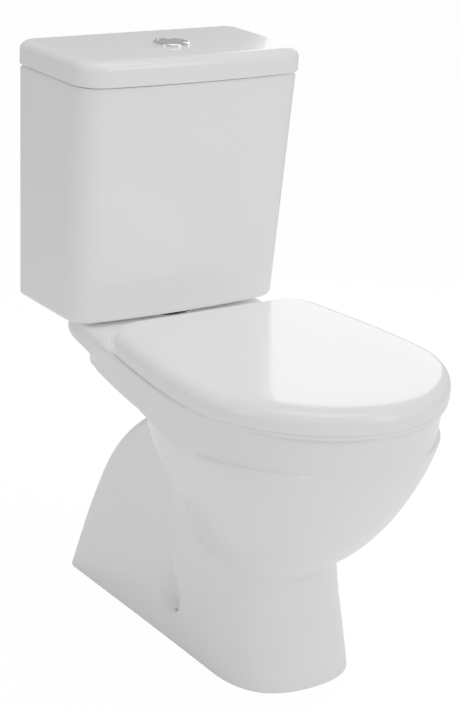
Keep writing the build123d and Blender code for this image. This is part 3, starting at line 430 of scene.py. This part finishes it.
def pan_angles():
    """Angles round the pan, closer together at the screw recess and the foot's corners."""
    dense = np.linspace(-90, 90, 3000)
    weight = 1 + 1.6 * smooth(dense, 14, 20) * (1 - smooth(dense, 44, 50))
    weight += 1.2 * smooth(dense, 55, 62) * (1 - smooth(dense, 78, 84))
    total = np.concatenate(((0,), np.cumsum(weight[1:])))
    right = np.radians(np.interp(np.linspace(0, total[-1], 221), total, dense))
    return np.concatenate((right, (pi - right[1:-1])[::-1]))


ANGLES = pan_angles()


def polar_points(r, centre_y):
    return np.column_stack((r * np.cos(ANGLES), centre_y + r * np.sin(ANGLES)))


def bowl_radii(z):
    """The belly: an ellipse in front, squarer behind, shrinking to a keel."""
    t = (BOWL_CROWN - z) / (BOWL_CROWN - BOWL_KEEL)
    if t > 0.975:
        return np.zeros(len(ANGLES))
    s = (1 - t**1.496) ** (1 / 1.847)
    tip = -111.2 - 206.8 * s
    half = 178 * (1 - t**1.9875) ** (1 / 2.028) * (1 + 0.035 * smooth(z, 250, BAND_BOTTOM))
    wide = -111 - 30 * s
    rear = np.interp(z, (140, 160, 200, 250, 300, 350), (-30, -16, 20, 45, 62, 75))
    phi = np.linspace(0, pi / 2, 300)
    front = np.column_stack((half * np.cos(phi), wide - (wide - tip) * np.sin(phi)))[::-1]
    back = np.column_stack((half * np.cos(phi) ** 0.77, wide + (rear - wide) * np.sin(phi) ** 0.77))
    return radii(mirrored(np.vstack((front, back[1:]))), CENTRE_Y, ANGLES)


def foot_radii(z, inset=0.0):
    """The foot, which leans forward as it rises."""
    t = z / 300
    tip = -198 + 78.2 * t + 15.1 * t * t
    half = 97 - 7.06 * t
    rear = 291.5 - 91.1 * t - 93.6 * t**4.144
    wide = min(-70, tip + 100)
    rear_half = half * (0.95 + 0.1 * max(0.0, 1 - z / 150))
    outline = d_outline(
        half - inset, tip + 1.2 * inset, wide, rear - inset, rear_half - inset, 0.758, 26, (200, 200, 60, 100)
    )
    return radii(outline, CENTRE_Y, ANGLES)


def neck_radii(z):
    """The trap's hump behind the foot, under the deck."""
    rise = max(0.0, z - 290) / (NECK_TOP + 8 - 290)
    back = 92 + 50 * (1 - min(rise, 0.999) ** 2) ** 0.5
    front, half = CENTRE_Y - 20, 52
    half_outline = np.vstack((
        line((0, front), (half, front), 30),
        line((half, front), (half, back - half), 60),
        arc((0, back - half), half, 0, 90, 60),
        ((0, back),),
    ))
    return radii(mirrored(half_outline), CENTRE_Y, ANGLES)


def soft_max(a, b, k):
    """Smooth union of two radii, with a fillet about k wide."""
    h = np.maximum(k - np.abs(a - b), 0) / k
    return np.maximum(a, b) + h * h * k / 4


def belly_radii(z):
    r = soft_max(bowl_radii(z), foot_radii(z), 30)
    if z > 240:
        r = soft_max(r, neck_radii(z), 14)
    return r


def scoop(y, z):
    """Depth of the teardrop recess for a floor screw, with its ledge at z = 44."""
    ledge, tip, half, round_end = 40.0, 128.0, 29.0, 68.0
    u = np.clip((z - ledge) / (tip - ledge), 0, 1)
    axis = 14 + 12 * u
    if z < round_end:
        width = half * np.sqrt(max(0.0, 1 - ((z - round_end) / (round_end - ledge + 1)) ** 2))
    else:
        width = half * (1 - ((z - round_end) / (tip - round_end)) ** 1.6)
    depth = 24 * (1 - u) ** 0.9 * smooth(z, ledge - 0.6, ledge + 5)
    front, back = smooth(axis - y, width - 7.0, width + 1.5), smooth(y - axis, width - 20.0, width + 6)
    return depth * (1 - front) * (1 - back) if width > 1 else 0 * y


def outer_ring(z):
    points = polar_points(belly_radii(z), CENTRE_Y)
    if 39 < z < 130:
        points[:, 0] -= np.sign(points[:, 0]) * scoop(points[:, 1], z) * (np.abs(points[:, 0]) > 60)
    return ring(points, z)


DECK_REAR = spline(((354, 208), (361, 211), (371, 222), (381, 245), (389, 268), (397, 277), (411, 281)))


def band_radii(z):
    """The band under the rim, which runs back into the deck with its large round corners."""
    rise = (z - BAND_BOTTOM) / (RIM_TOP - BAND_BOTTOM)
    tip = RIM_TIP + 9 * (1 - np.clip(rise, 0, 1))
    half, wide, rear = BAND_HALF, -105.0, DECK_REAR(z)
    corner = 72 + 13 * float(smooth(z, 354, 374))
    k = 0.5523
    nose = bezier(((0, tip), (half * k, tip), (half, wide + (tip - wide) * k), (half, wide)), 400)
    third = (150 - wide) / 3
    lean = DECK_HALF + 0.52 * (half - DECK_HALF)
    side = bezier(((half, wide), (half, wide + third), (lean, 150 - third), (DECK_HALF, 150)), 400)
    y = np.linspace(wide, rear, 1600)
    x = np.interp(y, side[:, 1], side[:, 0], right=DECK_HALF)
    past = np.maximum(y - (rear - corner), 0)
    turned = DECK_HALF - corner + np.sqrt(np.maximum(corner**2 - past**2, 0))
    x = np.where(past > 0, np.minimum(x, turned), x)
    return radii(mirrored(np.vstack((nose, np.column_stack((x, y)), ((0, rear),)))), CENTRE_Y, ANGLES)


def top_height(y):
    """The rim is 9 mm lower than the platform that carries the cistern."""
    return RIM_TOP + (DECK_TOP - RIM_TOP) * smooth(y, 121, 131)


def side_lift(y):
    """0 at the front of the rim and 1 along its sides, where its edge stands up beside the seat."""
    return smooth(y, -295, -165)


def edge_height(y):
    """Height of the rim's outer edge."""
    return np.maximum(top_height(y), RIM_TOP + FRONT_LIFT + (EDGE_LIFT - FRONT_LIFT) * side_lift(y))


def lower_edge(y):
    """Height of the band's lower edge, which slopes up towards the back."""
    return BAND_LOWEST + 14.5 * smooth(y, -115, -5)


def band_rings():
    """From the underside of the band, up its side and over its rounded top edge."""
    rings = []
    low = belly_radii(BAND_LOWEST - 0.4)
    outline = band_radii(BAND_BOTTOM)
    y = polar_points(outline, CENTRE_Y)[:, 1]
    ledge_r = 4.0 * smooth(y, LEDGE_FRONT, LEDGE_BACK)
    rise = lower_edge(y) - BAND_LOWEST
    for share in (0.03, 0.2, 0.5, 0.8, 0.97):
        edge = np.maximum(outline - ledge_r, low)
        z = BAND_LOWEST + rise * share - 0.2 * (1 - share)
        rings.append(ring(polar_points(low + (edge - low) * share, CENTRE_Y), z))
    for step in range(0, 7):
        a = step / 6 * pi / 2
        r = np.maximum(outline - ledge_r * (1 - sin(a)), low)
        rings.append(ring(polar_points(r, CENTRE_Y), BAND_LOWEST + rise + 4 * (1 - cos(a))))
    edge_r = 6.0 - 2.5 * side_lift(y) + 13.0 * smooth(y, 70, 150)
    top = edge_height(y)
    bottom = BAND_BOTTOM - 1.0 + rise
    for share in np.linspace(0.04, 1, 22):
        z = bottom + (top - edge_r - bottom) * share
        level = BAND_BOTTOM + (DECK_TOP - 8 - BAND_BOTTOM) * share
        rings.append(ring(polar_points(band_radii(level), CENTRE_Y), z))
    for step in range(1, 10):
        a = step / 9 * pi / 2
        level = DECK_TOP - 8 + 7.9 * step / 9
        r = band_radii(level) - edge_r * (1 - cos(a))
        rings.append(ring(polar_points(r, CENTRE_Y), top - edge_r * (1 - sin(a))))
    return rings


def mouth_radii(grow=0.0):
    """The opening of the rim, grown outwards."""
    half, tip, rear, rear_half = 134 + grow, -275 - grow, 39 + grow, 80 + grow
    outline = d_outline(half, tip, MOUTH_Y, rear, rear_half, 0.707, 15, FINE)
    return radii(outline, MOUTH_Y, ANGLES)


def rim_rings(outer):
    """The flat top, with the step up to the platform, and the mouth's rounded edge."""
    edge_z = outer[:, 2]
    outer = outer[:, :2]
    centre = np.array((0, CENTRE_Y))
    along = np.hypot(*(outer - centre).T)
    rings = []
    for step, fall in ((1.0, 0.0), (2.0, 0.03), (3.0, 0.25), (3.6, 0.75), (4.6, 0.97)):
        near = centre + (outer - centre) * (1 - step / along)[:, None]
        level = top_height(near[:, 1])
        rings.append(ring(near, np.where(edge_z > level, edge_z + (level - edge_z) * fall, level)))
    outer = near
    inner = polar_points(mouth_radii(8), MOUTH_Y)
    reach = np.maximum(outer[:, 1] - inner[:, 1], 1e-3)
    step_near = np.where(outer[:, 1] > 100, (outer[:, 1] - 132) / reach, 0)
    step_far = np.where(outer[:, 1] > 100, (outer[:, 1] - 120) / reach, 0)
    near = np.clip(step_near, 0.03, 0.9)
    far = np.clip(step_far, 0.09, 0.95)
    for a, b, count in ((np.zeros_like(near), near, 5), (near, far, 8), (far, np.ones_like(far), 8)):
        for i in range(1, count + 1):
            share = (a + (b - a) * i / count)[:, None]
            points = outer * (1 - share) + inner * share
            rings.append(ring(points, top_height(points[:, 1])))
    for step in range(1, 8):
        a = step / 7 * pi / 2
        rings.append(ring(polar_points(mouth_radii(8 * (1 - sin(a))), MOUTH_Y), RIM_TOP - 8 * (1 - cos(a))))
    return rings


INNER_HEIGHTS = (386, 350, 300, 250, 200, 150, 100, 67)
INNER = {
    "half": spline(zip(INNER_HEIGHTS, (152, 150, 144, 126, 95, 57, 37, 27))),
    "tip": spline(zip(INNER_HEIGHTS, (-293, -289, -274, -246, -206, -146, -112, -98))),
    "rear": spline(zip(INNER_HEIGHTS, (58, 48, 36, 23, 10, -3, -14, -30))),
    "rear_half": spline(zip(INNER_HEIGHTS, (96, 92, 88, 76, 60, 42, 28, 18))),
}


def inside_ring(z):
    """The wet inside of the bowl, down to the sump."""
    centre = MOUTH_Y + 48 * float(smooth(z, 320, 80)) if z < 320 else MOUTH_Y
    wide = MOUTH_Y + (386 - z) * 0.12
    shape = {key: curve(z) for key, curve in INNER.items()}
    outline = d_outline(
        shape["half"], shape["tip"], wide, shape["rear"], shape["rear_half"], 0.707, 14, FINE
    )
    return ring(polar_points(radii(outline, centre, ANGLES), centre), z)


def inner_rings():
    """Down the mouth, round the lip's lower edge, up behind it and down the bowl."""
    lip, ceiling = 7.0, 386.0
    rings = [ring(polar_points(mouth_radii(), MOUTH_Y), z) for z in (386, 376, 366, 361.5)]
    for step in range(1, 8):
        a = step / 8 * pi
        grow = lip / 2 * (1 - cos(a))
        rings.append(ring(polar_points(mouth_radii(grow), MOUTH_Y), 361.5 - 3.5 * sin(a)))
    rings += [ring(polar_points(mouth_radii(lip), MOUTH_Y), z) for z in (361.5, 370, 380, 384.5)]
    bowl_edge = inside_ring(ceiling)
    lip_edge = rings[-1]
    for share in (0.15, 0.5, 0.85):
        rings.append(ring((lip_edge * (1 - share) + bowl_edge * share)[:, :2], ceiling))
    rings += [inside_ring(z) for z in (384.5, 380, 374, 368, 360, 352)]
    rings += [inside_ring(z) for z in np.arange(344, 80, -7)]
    floor = inside_ring(72)
    middle = np.mean(floor, axis=0)
    for share, z in ((0.0, 75), (0.06, 71), (0.18, 68.4), (0.38, 67.2), (0.65, 67)):
        shrunk = floor * (1 - share) + middle * share
        rings.append(ring(shrunk[:, :2], z))
    return rings


def foot_rings():
    """From the shallow hollow under the foot, round its lower edge and up to the band."""
    hollow = ((40, HOLLOW_TOP), (17, HOLLOW_TOP), (13.5, HOLLOW_TOP - 2), (12, HOLLOW_TOP - 6), (11, 12))
    sole = ((11, 1.5), (9.5, 0), (5, 0), (1.6, 0), (0.5, 0.5), (0.1, 1.4))
    rings = [ring(polar_points(foot_radii(z, inset), CENTRE_Y), z) for inset, z in hollow + sole]
    heights = np.concatenate((
        (3, 8, 14, 20, 26, 32, 36, 38.5, 39.6), np.arange(40, 48, 0.6), np.arange(48, 70, 1.5),
        np.arange(70, 134, 2.5), np.arange(136, 336, 4), np.arange(337, BAND_LOWEST, 2),
    ))
    return rings + [outer_ring(z) for z in heights]


def throat():
    """The way out of the sump: a bent tube that rises towards the weir."""
    route = ((-62, 101, 0), (-30, 101, 0), (0, 103, 12), (24, 116, 38), (40, 142, 62), (50, 176, 72))
    a = np.linspace(0, 2 * pi, 40, endpoint=False)[:, None]
    across = np.array((1, 0, 0))
    rings = []
    for y, z, lean in route:
        side = radians(lean)
        up = np.array((0, -sin(side), cos(side)))
        rings.append(np.array((0, y, z)) + THROAT_R * (np.cos(a) * across + np.sin(a) * up))
    return skin(rings, cap_first=True, cap_last=True)


def make_pan():
    piece = new_piece("pan_casting", "pan", MATERIALS["ceramic"], ("pan",))
    rings = foot_rings() + band_rings()
    rings += rim_rings(rings[-1])
    rings += inner_rings()
    fill(piece, skin(rings, cap_first=True, cap_last=True))
    holes = [tube(s * SCREW_X, SCREW_Y, SCREW_HOLE_R, -2, 62, 24) for s in SIDES]
    holes += [tube(s * HINGE_X, HINGE_Y, DECK_HOLE_R, 385, 420, 24) for s in SIDES]
    holes += [tube(s * BOLT_X, FLUSH_Y, DECK_HOLE_R, 385, 420, 24) for s in SIDES]
    holes += [tube(0, FLUSH_Y, SOCKET_R, 397.6, 430, 64)]
    cut(piece, *holes)
    # room for the wing nuts of the cistern bolts, then for those of the seat bolts
    cut(piece, *[rounded_block(sorted((s * 56, s * 108)), (110, 238), (340, 390), 14) for s in SIDES])
    cut(piece, *[rounded_block(sorted((s * 62, s * 94)), (66, 116), (366, 389.6), 9) for s in SIDES])
    cut(piece, tube(0, FLUSH_Y, DUCT_R, 372, 400, 48), throat())
    sharpen(piece)
    return piece


def lathe(profile, centre, count=64, loop=True):
    """Turns an (r, z) profile round an upright axis."""
    rings = []
    for r, z in profile:
        rings.append(ring(arc(centre, r, 0, 360, count), z))
    return skin(rings, loop=loop)


def make_outlet():
    """Spigot of the floor outlet, under the back of the foot."""
    piece = new_piece("pan_outlet_spigot", "pan", MATERIALS["ceramic"])
    profile = ((37, 33), (37, 13), (38, 12), (49, 12), (50, 13), (50, 33))
    fill(piece, lathe(profile, (0, OUTLET_Y)))
    sharpen(piece)


# ---- cistern and lid ----------------------------------------------------------------
TANK_FOOT_HALF = 169.4
TANK_FOOT_FRONT = WALL_Y - 167.6
TANK_BOW = 9.4
TANK_WALL = 9.0
VALVE_HOLE_R = 32.0
FILL_HOLE_R = 11.5
TANK_BOLT_HOLE_R = 6.0


def tank_ring(z, inset=0.0):
    rise = (z - TANK_LOW[2]) / (TANK_HIGH[2] - TANK_LOW[2])
    half = TANK_FOOT_HALF + (TANK_HIGH[0] - TANK_FOOT_HALF) * rise
    front = TANK_FOOT_FRONT + (TANK_LOW[1] - TANK_FOOT_FRONT) * rise
    rear_r = max(6 - inset, 1.5) if inset < 6 else 8
    return ring(tank_outline(half - inset, front + inset, TANK_BOW, 36 - inset, rear_r, WALL_Y - inset), z)


def make_cistern():
    piece = new_piece("cistern_casting", "pan", MATERIALS["ceramic"], ("cistern",))
    bottom, top, floor = TANK_LOW[2], TANK_HIGH[2], TANK_LOW[2] + 12
    edge = 9.0
    under = tank_ring(bottom, edge)
    middle = np.mean(under, axis=0)
    rings = [under * (1 - s) + middle * s for s in (0.75, 0.45, 0.2)]
    for step in range(0, 9):
        a = step / 8 * pi / 2
        rings.append(tank_ring(bottom + edge * (1 - cos(a)), edge * (1 - sin(a))))
    rings += [tank_ring(z) for z in np.linspace(bottom + edge + 3, top - 4, 26)]
    for step in range(0, 9):
        a = step / 8 * pi
        inset = TANK_WALL / 2 * (1 - cos(a))
        rings.append(tank_ring(top - 2 + 2 * sin(a), inset))
    rings += [tank_ring(z, TANK_WALL) for z in np.linspace(top - 6, floor + 12, 14)]
    for step in range(1, 7):
        a = step / 6 * pi / 2
        rings.append(tank_ring(floor + 10 * (1 - sin(a)), TANK_WALL + 10 * (1 - cos(a))))
    inside = rings[-1]
    rings += [inside * (1 - s) + np.mean(inside, axis=0) * s for s in (0.2, 0.45, 0.75)]
    fill(piece, skin(rings, cap_first=True, cap_last=True))
    low, high = bottom - 5, floor + 5
    holes = [tube(0, FLUSH_Y, VALVE_HOLE_R, low, high, 64), tube(FILL_X, FILL_Y, FILL_HOLE_R, low, high, 32)]
    holes += [tube(s * BOLT_X, FLUSH_Y, TANK_BOLT_HOLE_R, low, high, 32) for s in SIDES]
    cut(piece, *holes)
    sharpen(piece)


LID_BOTTOM = TANK_HIGH[2] + 2.0
LID_WALL = 9.0
LID_EDGE = 14.0
LID_HOLE_R = 20.9


def lid_ring(z, inset=0.0, top_edge=False):
    corner = max(38 - inset, 12)
    rear_r = 8 + 0.3 * inset
    back = WALL_Y - (0.3 * inset if top_edge else inset)
    return ring(tank_outline(LID_HIGH[0] - inset, LID_LOW[1] + inset, TANK_BOW, corner, rear_r, back), z)


def lid_crown(points):
    """The top falls away slightly from the middle, and is flat under the bezel."""
    far = np.hypot(points[:, 0] / 160, (points[:, 1] - FLUSH_Y) / 90)
    return LID_HIGH[2] - 1.6 * smooth(far, 0.25, 1.3)


def towards_hole(points, share):
    offset = points[:, :2] - (0, FLUSH_Y)
    circle = offset / np.hypot(*offset.T)[:, None] * LID_HOLE_R + (0, FLUSH_Y)
    return points[:, :2] * (1 - share) + circle * share


def make_lid():
    china = MATERIALS["ceramic"]
    piece = new_piece("cistern_lid_casting", "cistern_lid", china, ("cistern_lid",))
    top, under = LID_HIGH[2], LID_HIGH[2] - LID_WALL - 1
    rings = [lid_ring(LID_BOTTOM, inset) for inset in (LID_WALL - 1.5, 1.5)]
    rings += [lid_ring(LID_BOTTOM + 0.45, 0.45), lid_ring(LID_BOTTOM + 1.5)]
    rings += [lid_ring(z) for z in np.linspace(LID_BOTTOM + 4, top - LID_EDGE, 6)]
    edge_points = lid_ring(top, LID_EDGE, True)
    drop = top - lid_crown(edge_points)
    for step in range(1, 13):
        a = step / 12 * pi / 2
        inset = LID_EDGE * (1 - cos(a))
        points = lid_ring(0, inset, True)
        rings.append(ring(points[:, :2], top - LID_EDGE * (1 - sin(a)) - drop * sin(a)))
    last = rings[-1]
    for share in (0.04, 0.1, 0.18, 0.28, 0.4, 0.52, 0.64, 0.76, 0.87, 0.95, 0.985):
        points = towards_hole(last, share)
        rings.append(ring(points, lid_crown(points)))
    hole = towards_hole(last, 1)
    rings += [ring(hole, z) for z in (top, top - 0.3, under + 0.3, under)]
    ceiling = lid_ring(under, LID_WALL + 8)
    for share in (0.96, 0.7, 0.35, 0.0):
        rings.append(ring(towards_hole(ceiling, share), under))
    for step in range(1, 7):
        a = step / 6 * pi / 2
        rings.append(lid_ring(under - 8 * (1 - cos(a)), LID_WALL + 8 * (1 - sin(a))))
    rings += [lid_ring(z, LID_WALL) for z in (under - 12, LID_BOTTOM + 5, LID_BOTTOM + 1.5)]
    rib_span = (LID_LOW[2], under + 1)
    ribs = [rounded_block(sorted((s * 153.5, s * 160.5)), (195, 285), rib_span, 2) for s in SIDES]
    fill(piece, skin(rings, loop=True), *ribs)
    sharpen(piece)


# ---- seat ---------------------------------------------------------------------------
SEAT_HALF = COVER_HIGH[0]
SEAT_TIP = COVER_LOW[1]
SEAT_REAR = 94.5
SEAT_WIDE = -141.5
ROUND_SEAT = 0.690
COVER_BOTTOM = 412.1
COVER_TOP = COVER_HIGH[2]
COVER_SKIN = 5.5
# how far in from the edge, and how high: the cover's rounded shoulder
COVER_PROFILE = ((0, 412.7), (0, 421), (0.25, 424), (1.0, 427.4), (2.4, 430.8), (4.4, 433.8), (7.2, 436.3),
                 (11, 438.4), (16, 439.9), (23, 440.9), (33, 441.5), (46, 441.8), (62, 442))


def seat_ring_points(inset, z, rear=SEAT_REAR, rear_half=161.7, corner=30.0, back_share=1.0):
    """The seat's outline drawn in by inset, and at the back by back_share of it."""
    half, tip, back = SEAT_HALF - inset, SEAT_TIP + inset, rear - back_share * inset
    corner = max(corner - 0.5 * inset, 6)
    return ring(d_outline(half, tip, SEAT_WIDE, back, rear_half - inset, ROUND_SEAT, corner), z)


def to_centre(rings, z, shares=(0.15, 0.32, 0.5, 0.68, 0.84, 0.94)):
    """Fills the middle of a plate with rings that shrink to a point."""
    edge = rings[-1]
    middle = np.array((0, -105, z))
    return [ring((edge * (1 - s) + middle * s)[:, :2], edge[0, 2] + (z - edge[0, 2]) * s) for s in shares]


def make_cover():
    plastic = MATERIALS["seat_plastic"]
    piece = new_piece("seat_cover_shell", "seat_cover", plastic, ("seat_cover",))
    outer = [seat_ring_points(0.6, COVER_BOTTOM)]
    outer += [seat_ring_points(inset, z, back_share=0.15) for inset, z in COVER_PROFILE]
    outer += to_centre(outer, COVER_TOP)
    inner = [seat_ring_points(COVER_SKIN - 0.6, COVER_BOTTOM)]
    inner += [seat_ring_points(COVER_SKIN, z) for z in (COVER_BOTTOM + 0.6, 420, 426)]
    ceiling = COVER_TOP - COVER_SKIN
    for step in range(1, 7):
        a = step / 6 * pi / 2
        inner.append(seat_ring_points(COVER_SKIN + 7 * (1 - cos(a)), ceiling - 8 + 7.6 * sin(a)))
    inner += to_centre(inner, ceiling)
    fill(piece, skin(inner[::-1] + outer, cap_first=True, cap_last=True))
    tall = (405, ceiling - 0.2)
    gaps = [rounded_block(sorted((s * 54.5, s * 100.5)), (80, 104), tall, 1.5) for s in SIDES]
    cut(piece, *gaps)
    sharpen(piece)


def opening_radii(grow, angles):
    """Egg-shaped opening of the seat ring, about its widest point."""
    half, front, rear = 112 + grow, 147 + grow, 127 + grow
    along = np.where(np.sin(angles) < 0, front, rear)
    return half * along / np.hypot(along * np.cos(angles), half * np.sin(angles))


def make_ring():
    plastic = MATERIALS["seat_plastic"]
    piece = new_piece("seat_ring_body", "seat_ring", plastic, ("seat_ring",))
    low, top, flange = RING_LOW[2], RING_HIGH[2], 411.4

    def edge(inset, z):
        return seat_ring_points(1.2 + inset, z, 69 + 1.2 + 0.6 * inset, 165.2, 14)

    def lifted(inset, z, share=1.0):
        points = edge(inset, z)
        points[:, 2] += 4.2 * share * side_lift(points[:, 1])
        return points

    rings = [edge(26, low), edge(21, low), lifted(20.4, low, 0.9)]
    rings += [lifted(i, z) for i, z in ((17, low), (9, low), (1, low), (0.2, low + 0.2), (0, low + 0.6))]
    over = ((0, flange - 1), (0.3, flange - 0.3), (1.2, flange), (6, flange + 0.1), (7.4, flange + 0.7))
    rings += [edge(i, z) for i, z in over]
    for step in range(0, 9):
        a = step / 8 * pi / 2
        rings.append(edge(7.8 + 10 * (1 - cos(a)), top - 10 + 10 * sin(a) - 1.2 * (1 - sin(a))))
    outer_top = rings[-1]
    centre = np.array((0, -105))
    offset = outer_top[:, :2] - centre
    angles = np.arctan2(offset[:, 1], offset[:, 0])

    def inner(grow, z):
        r = opening_radii(grow, angles)
        return ring(np.column_stack((r * np.cos(angles), r * np.sin(angles))) + centre, z)

    inner_top = inner(16, top - 0.3)
    for share in (0.25, 0.5, 0.75, 1.0):
        rings.append(ring((outer_top * (1 - share) + inner_top * share)[:, :2], top - 0.3 * share))
    for grow, z in ((12.5, -0.8), (9, -1.8), (6, -3.2), (3.4, -5.2), (1.4, -8), (0.3, -11.5), (0, -15)):
        rings.append(inner(grow, top + z))
    rings += [inner(0, low + 3), inner(0.4, low + 1.2), inner(1.6, low + 0.2), inner(3.5, low)]
    bottom_out, bottom_in = rings[0], rings[-1]
    rings += [ring((bottom_in * (1 - s) + bottom_out * s)[:, :2], low) for s in (0.33, 0.66)]
    fill(piece, skin(rings, loop=True))
    sharpen(piece)


BARREL_R = 8.0
PIN_HOLE_R = 4.05


def knuckle_pair(name, body, inner_x, outer_x, web_y, web_top):
    """Bored hinge barrels on both sides, each with a web towards its plate."""
    piece = new_piece(name, body, MATERIALS["seat_plastic"])
    count = 72
    a = np.linspace(0, 2 * pi, count, endpoint=False) + 1e-4
    barrel = np.full(count, BARREL_R)
    toward_web, up = -np.cos(a), np.sin(a)
    reach = np.minimum(
        (HINGE_Y - web_y) / np.maximum(toward_web, 1e-6),
        np.where(up > 0, (web_top - HINGE_Z) / np.maximum(up, 1e-6), BARREL_R / np.maximum(-up, 1e-6)),
    )
    outer = np.where(toward_web > 0, np.maximum(barrel, reach), barrel)
    width, edge = outer_x - inner_x, 0.6
    steps = ((0, PIN_HOLE_R), (0, -edge), (edge, 0), (width - edge, 0), (width, -edge), (width, PIN_HOLE_R))
    shells = []
    for side in SIDES:
        rings = []
        for along, shrink in steps:
            r = np.full(count, shrink) if shrink == PIN_HOLE_R else outer + shrink
            x = np.full(count, side * (inner_x + along))
            rings.append(np.column_stack((x, HINGE_Y + r * np.cos(a), HINGE_Z + r * np.sin(a))))
        shells.append(skin(rings, loop=True))
    fill(piece, *shells)
    sharpen(piece, 30)


# ---- light, floor, camera -----------------------------------------------------------
def make_world():
    """Soft pale surroundings, seen by the camera as pure white."""
    world = bpy.data.worlds.new("studio")
    bpy.context.scene.world = world
    world.use_nodes = True
    tree = world.node_tree
    background = tree.nodes["Background"]
    background.inputs["Color"].default_value = (1, 1, 1, 1)
    background.inputs["Strength"].default_value = 0.56
    seen = tree.nodes.new("ShaderNodeBackground")
    seen.inputs["Color"].default_value = (1, 1, 1, 1)
    seen.inputs["Strength"].default_value = 16.0
    path = tree.nodes.new("ShaderNodeLightPath")
    mix = tree.nodes.new("ShaderNodeMixShader")
    tree.links.new(path.outputs["Is Camera Ray"], mix.inputs["Fac"])
    tree.links.new(background.outputs["Background"], mix.inputs[1])
    tree.links.new(seen.outputs["Background"], mix.inputs[2])
    tree.links.new(mix.outputs["Shader"], tree.nodes["World Output"].inputs["Surface"])


def make_floor():
    mesh = bpy.data.meshes.new("studio_floor")
    size, level = 6.0, -0.0005
    corners = ((-size, -size), (size, -size), (size, size), (-size, size))
    mesh.from_pydata([(x, y, level) for x, y in corners], [], [(0, 1, 2, 3)])
    floor = bpy.data.objects.new("studio_floor", mesh)
    bpy.context.collection.objects.link(floor)
    material, tree, principled = shader("pale_floor", (0.92, 0.92, 0.92), 0.8)
    principled.inputs["Emission Color"].default_value = (1, 1, 1, 1)
    path = tree.nodes.new("ShaderNodeLightPath")
    glow = tree.nodes.new("ShaderNodeMath")
    glow.operation = "MULTIPLY"
    glow.inputs[1].default_value = 14.0
    tree.links.new(path.outputs["Is Camera Ray"], glow.inputs[0])
    tree.links.new(glow.outputs["Value"], principled.inputs["Emission Strength"])
    mesh.materials.append(material)


def softbox(name, place, target, size, power):
    """A rectangular studio light, aimed at target and hidden from the camera."""
    data = bpy.data.lights.new(name, "AREA")
    data.shape = "RECTANGLE"
    data.size, data.size_y = size
    data.energy = power
    lamp = bpy.data.objects.new(name, data)
    bpy.context.collection.objects.link(lamp)
    lamp.location = place
    lamp.rotation_euler = (Vector(target) - Vector(place)).to_track_quat("-Z", "Y").to_euler()
    lamp.visible_camera = False


def make_lights():
    middle = (0, 0, 0.4)
    softbox("key", (1.3, -2.6, 1.9), middle, (1.2, 1.8), 72)
    softbox("top", (0.1, -0.4, 2.6), middle, (1.5, 1.5), 70)
    softbox("left", (-2.6, -0.5, 1.6), middle, (0.5, 1.6), 14)
    softbox("strip", (-0.9, -2.6, 2.2), middle, (0.25, 0.7), 10)
    softbox("sheen", (1.15, 1.0, 1.0), (0, -0.1, 0.44), (0.7, 0.8), 45)


def make_camera():
    """Standing to the object's front left, a little above the lid, held slightly off level."""
    data = bpy.data.cameras.new("camera")
    data.sensor_fit = "VERTICAL"
    data.sensor_height = 36.0
    data.lens = 98.43
    camera = bpy.data.objects.new("camera", data)
    bpy.context.collection.objects.link(camera)
    azimuth, elevation, roll = radians(-34.97), radians(19.48), radians(3.16)
    forward = -Vector((sin(azimuth) * cos(elevation), -cos(azimuth) * cos(elevation), sin(elevation)))
    level = forward.cross(Vector((0, 0, 1))).normalized()
    upright = level.cross(forward)
    right = cos(roll) * level + sin(roll) * upright
    up = -sin(roll) * level + cos(roll) * upright
    camera.matrix_world = Matrix((
        (right.x, up.x, -forward.x, -1.41638),
        (right.y, up.y, -forward.y, -1.9876),
        (right.z, up.z, -forward.z, 1.26782),
        (0, 0, 0, 1),
    ))
    bpy.context.scene.camera = camera


make_camera()
make_world()
make_floor()
make_lights()
dress_cad_nodes()
make_pan()
make_outlet()
make_cistern()
make_lid()
make_cover()
make_ring()
knuckle_pair("seat_ring_knuckles", "seat_ring", 57.5, 68.9, 63.0, HINGE_Z + BARREL_R)
knuckle_pair("seat_cover_knuckles", "seat_cover", 86.1, 97.5, HINGE_Y - BARREL_R, COVER_TOP - COVER_SKIN + 1)
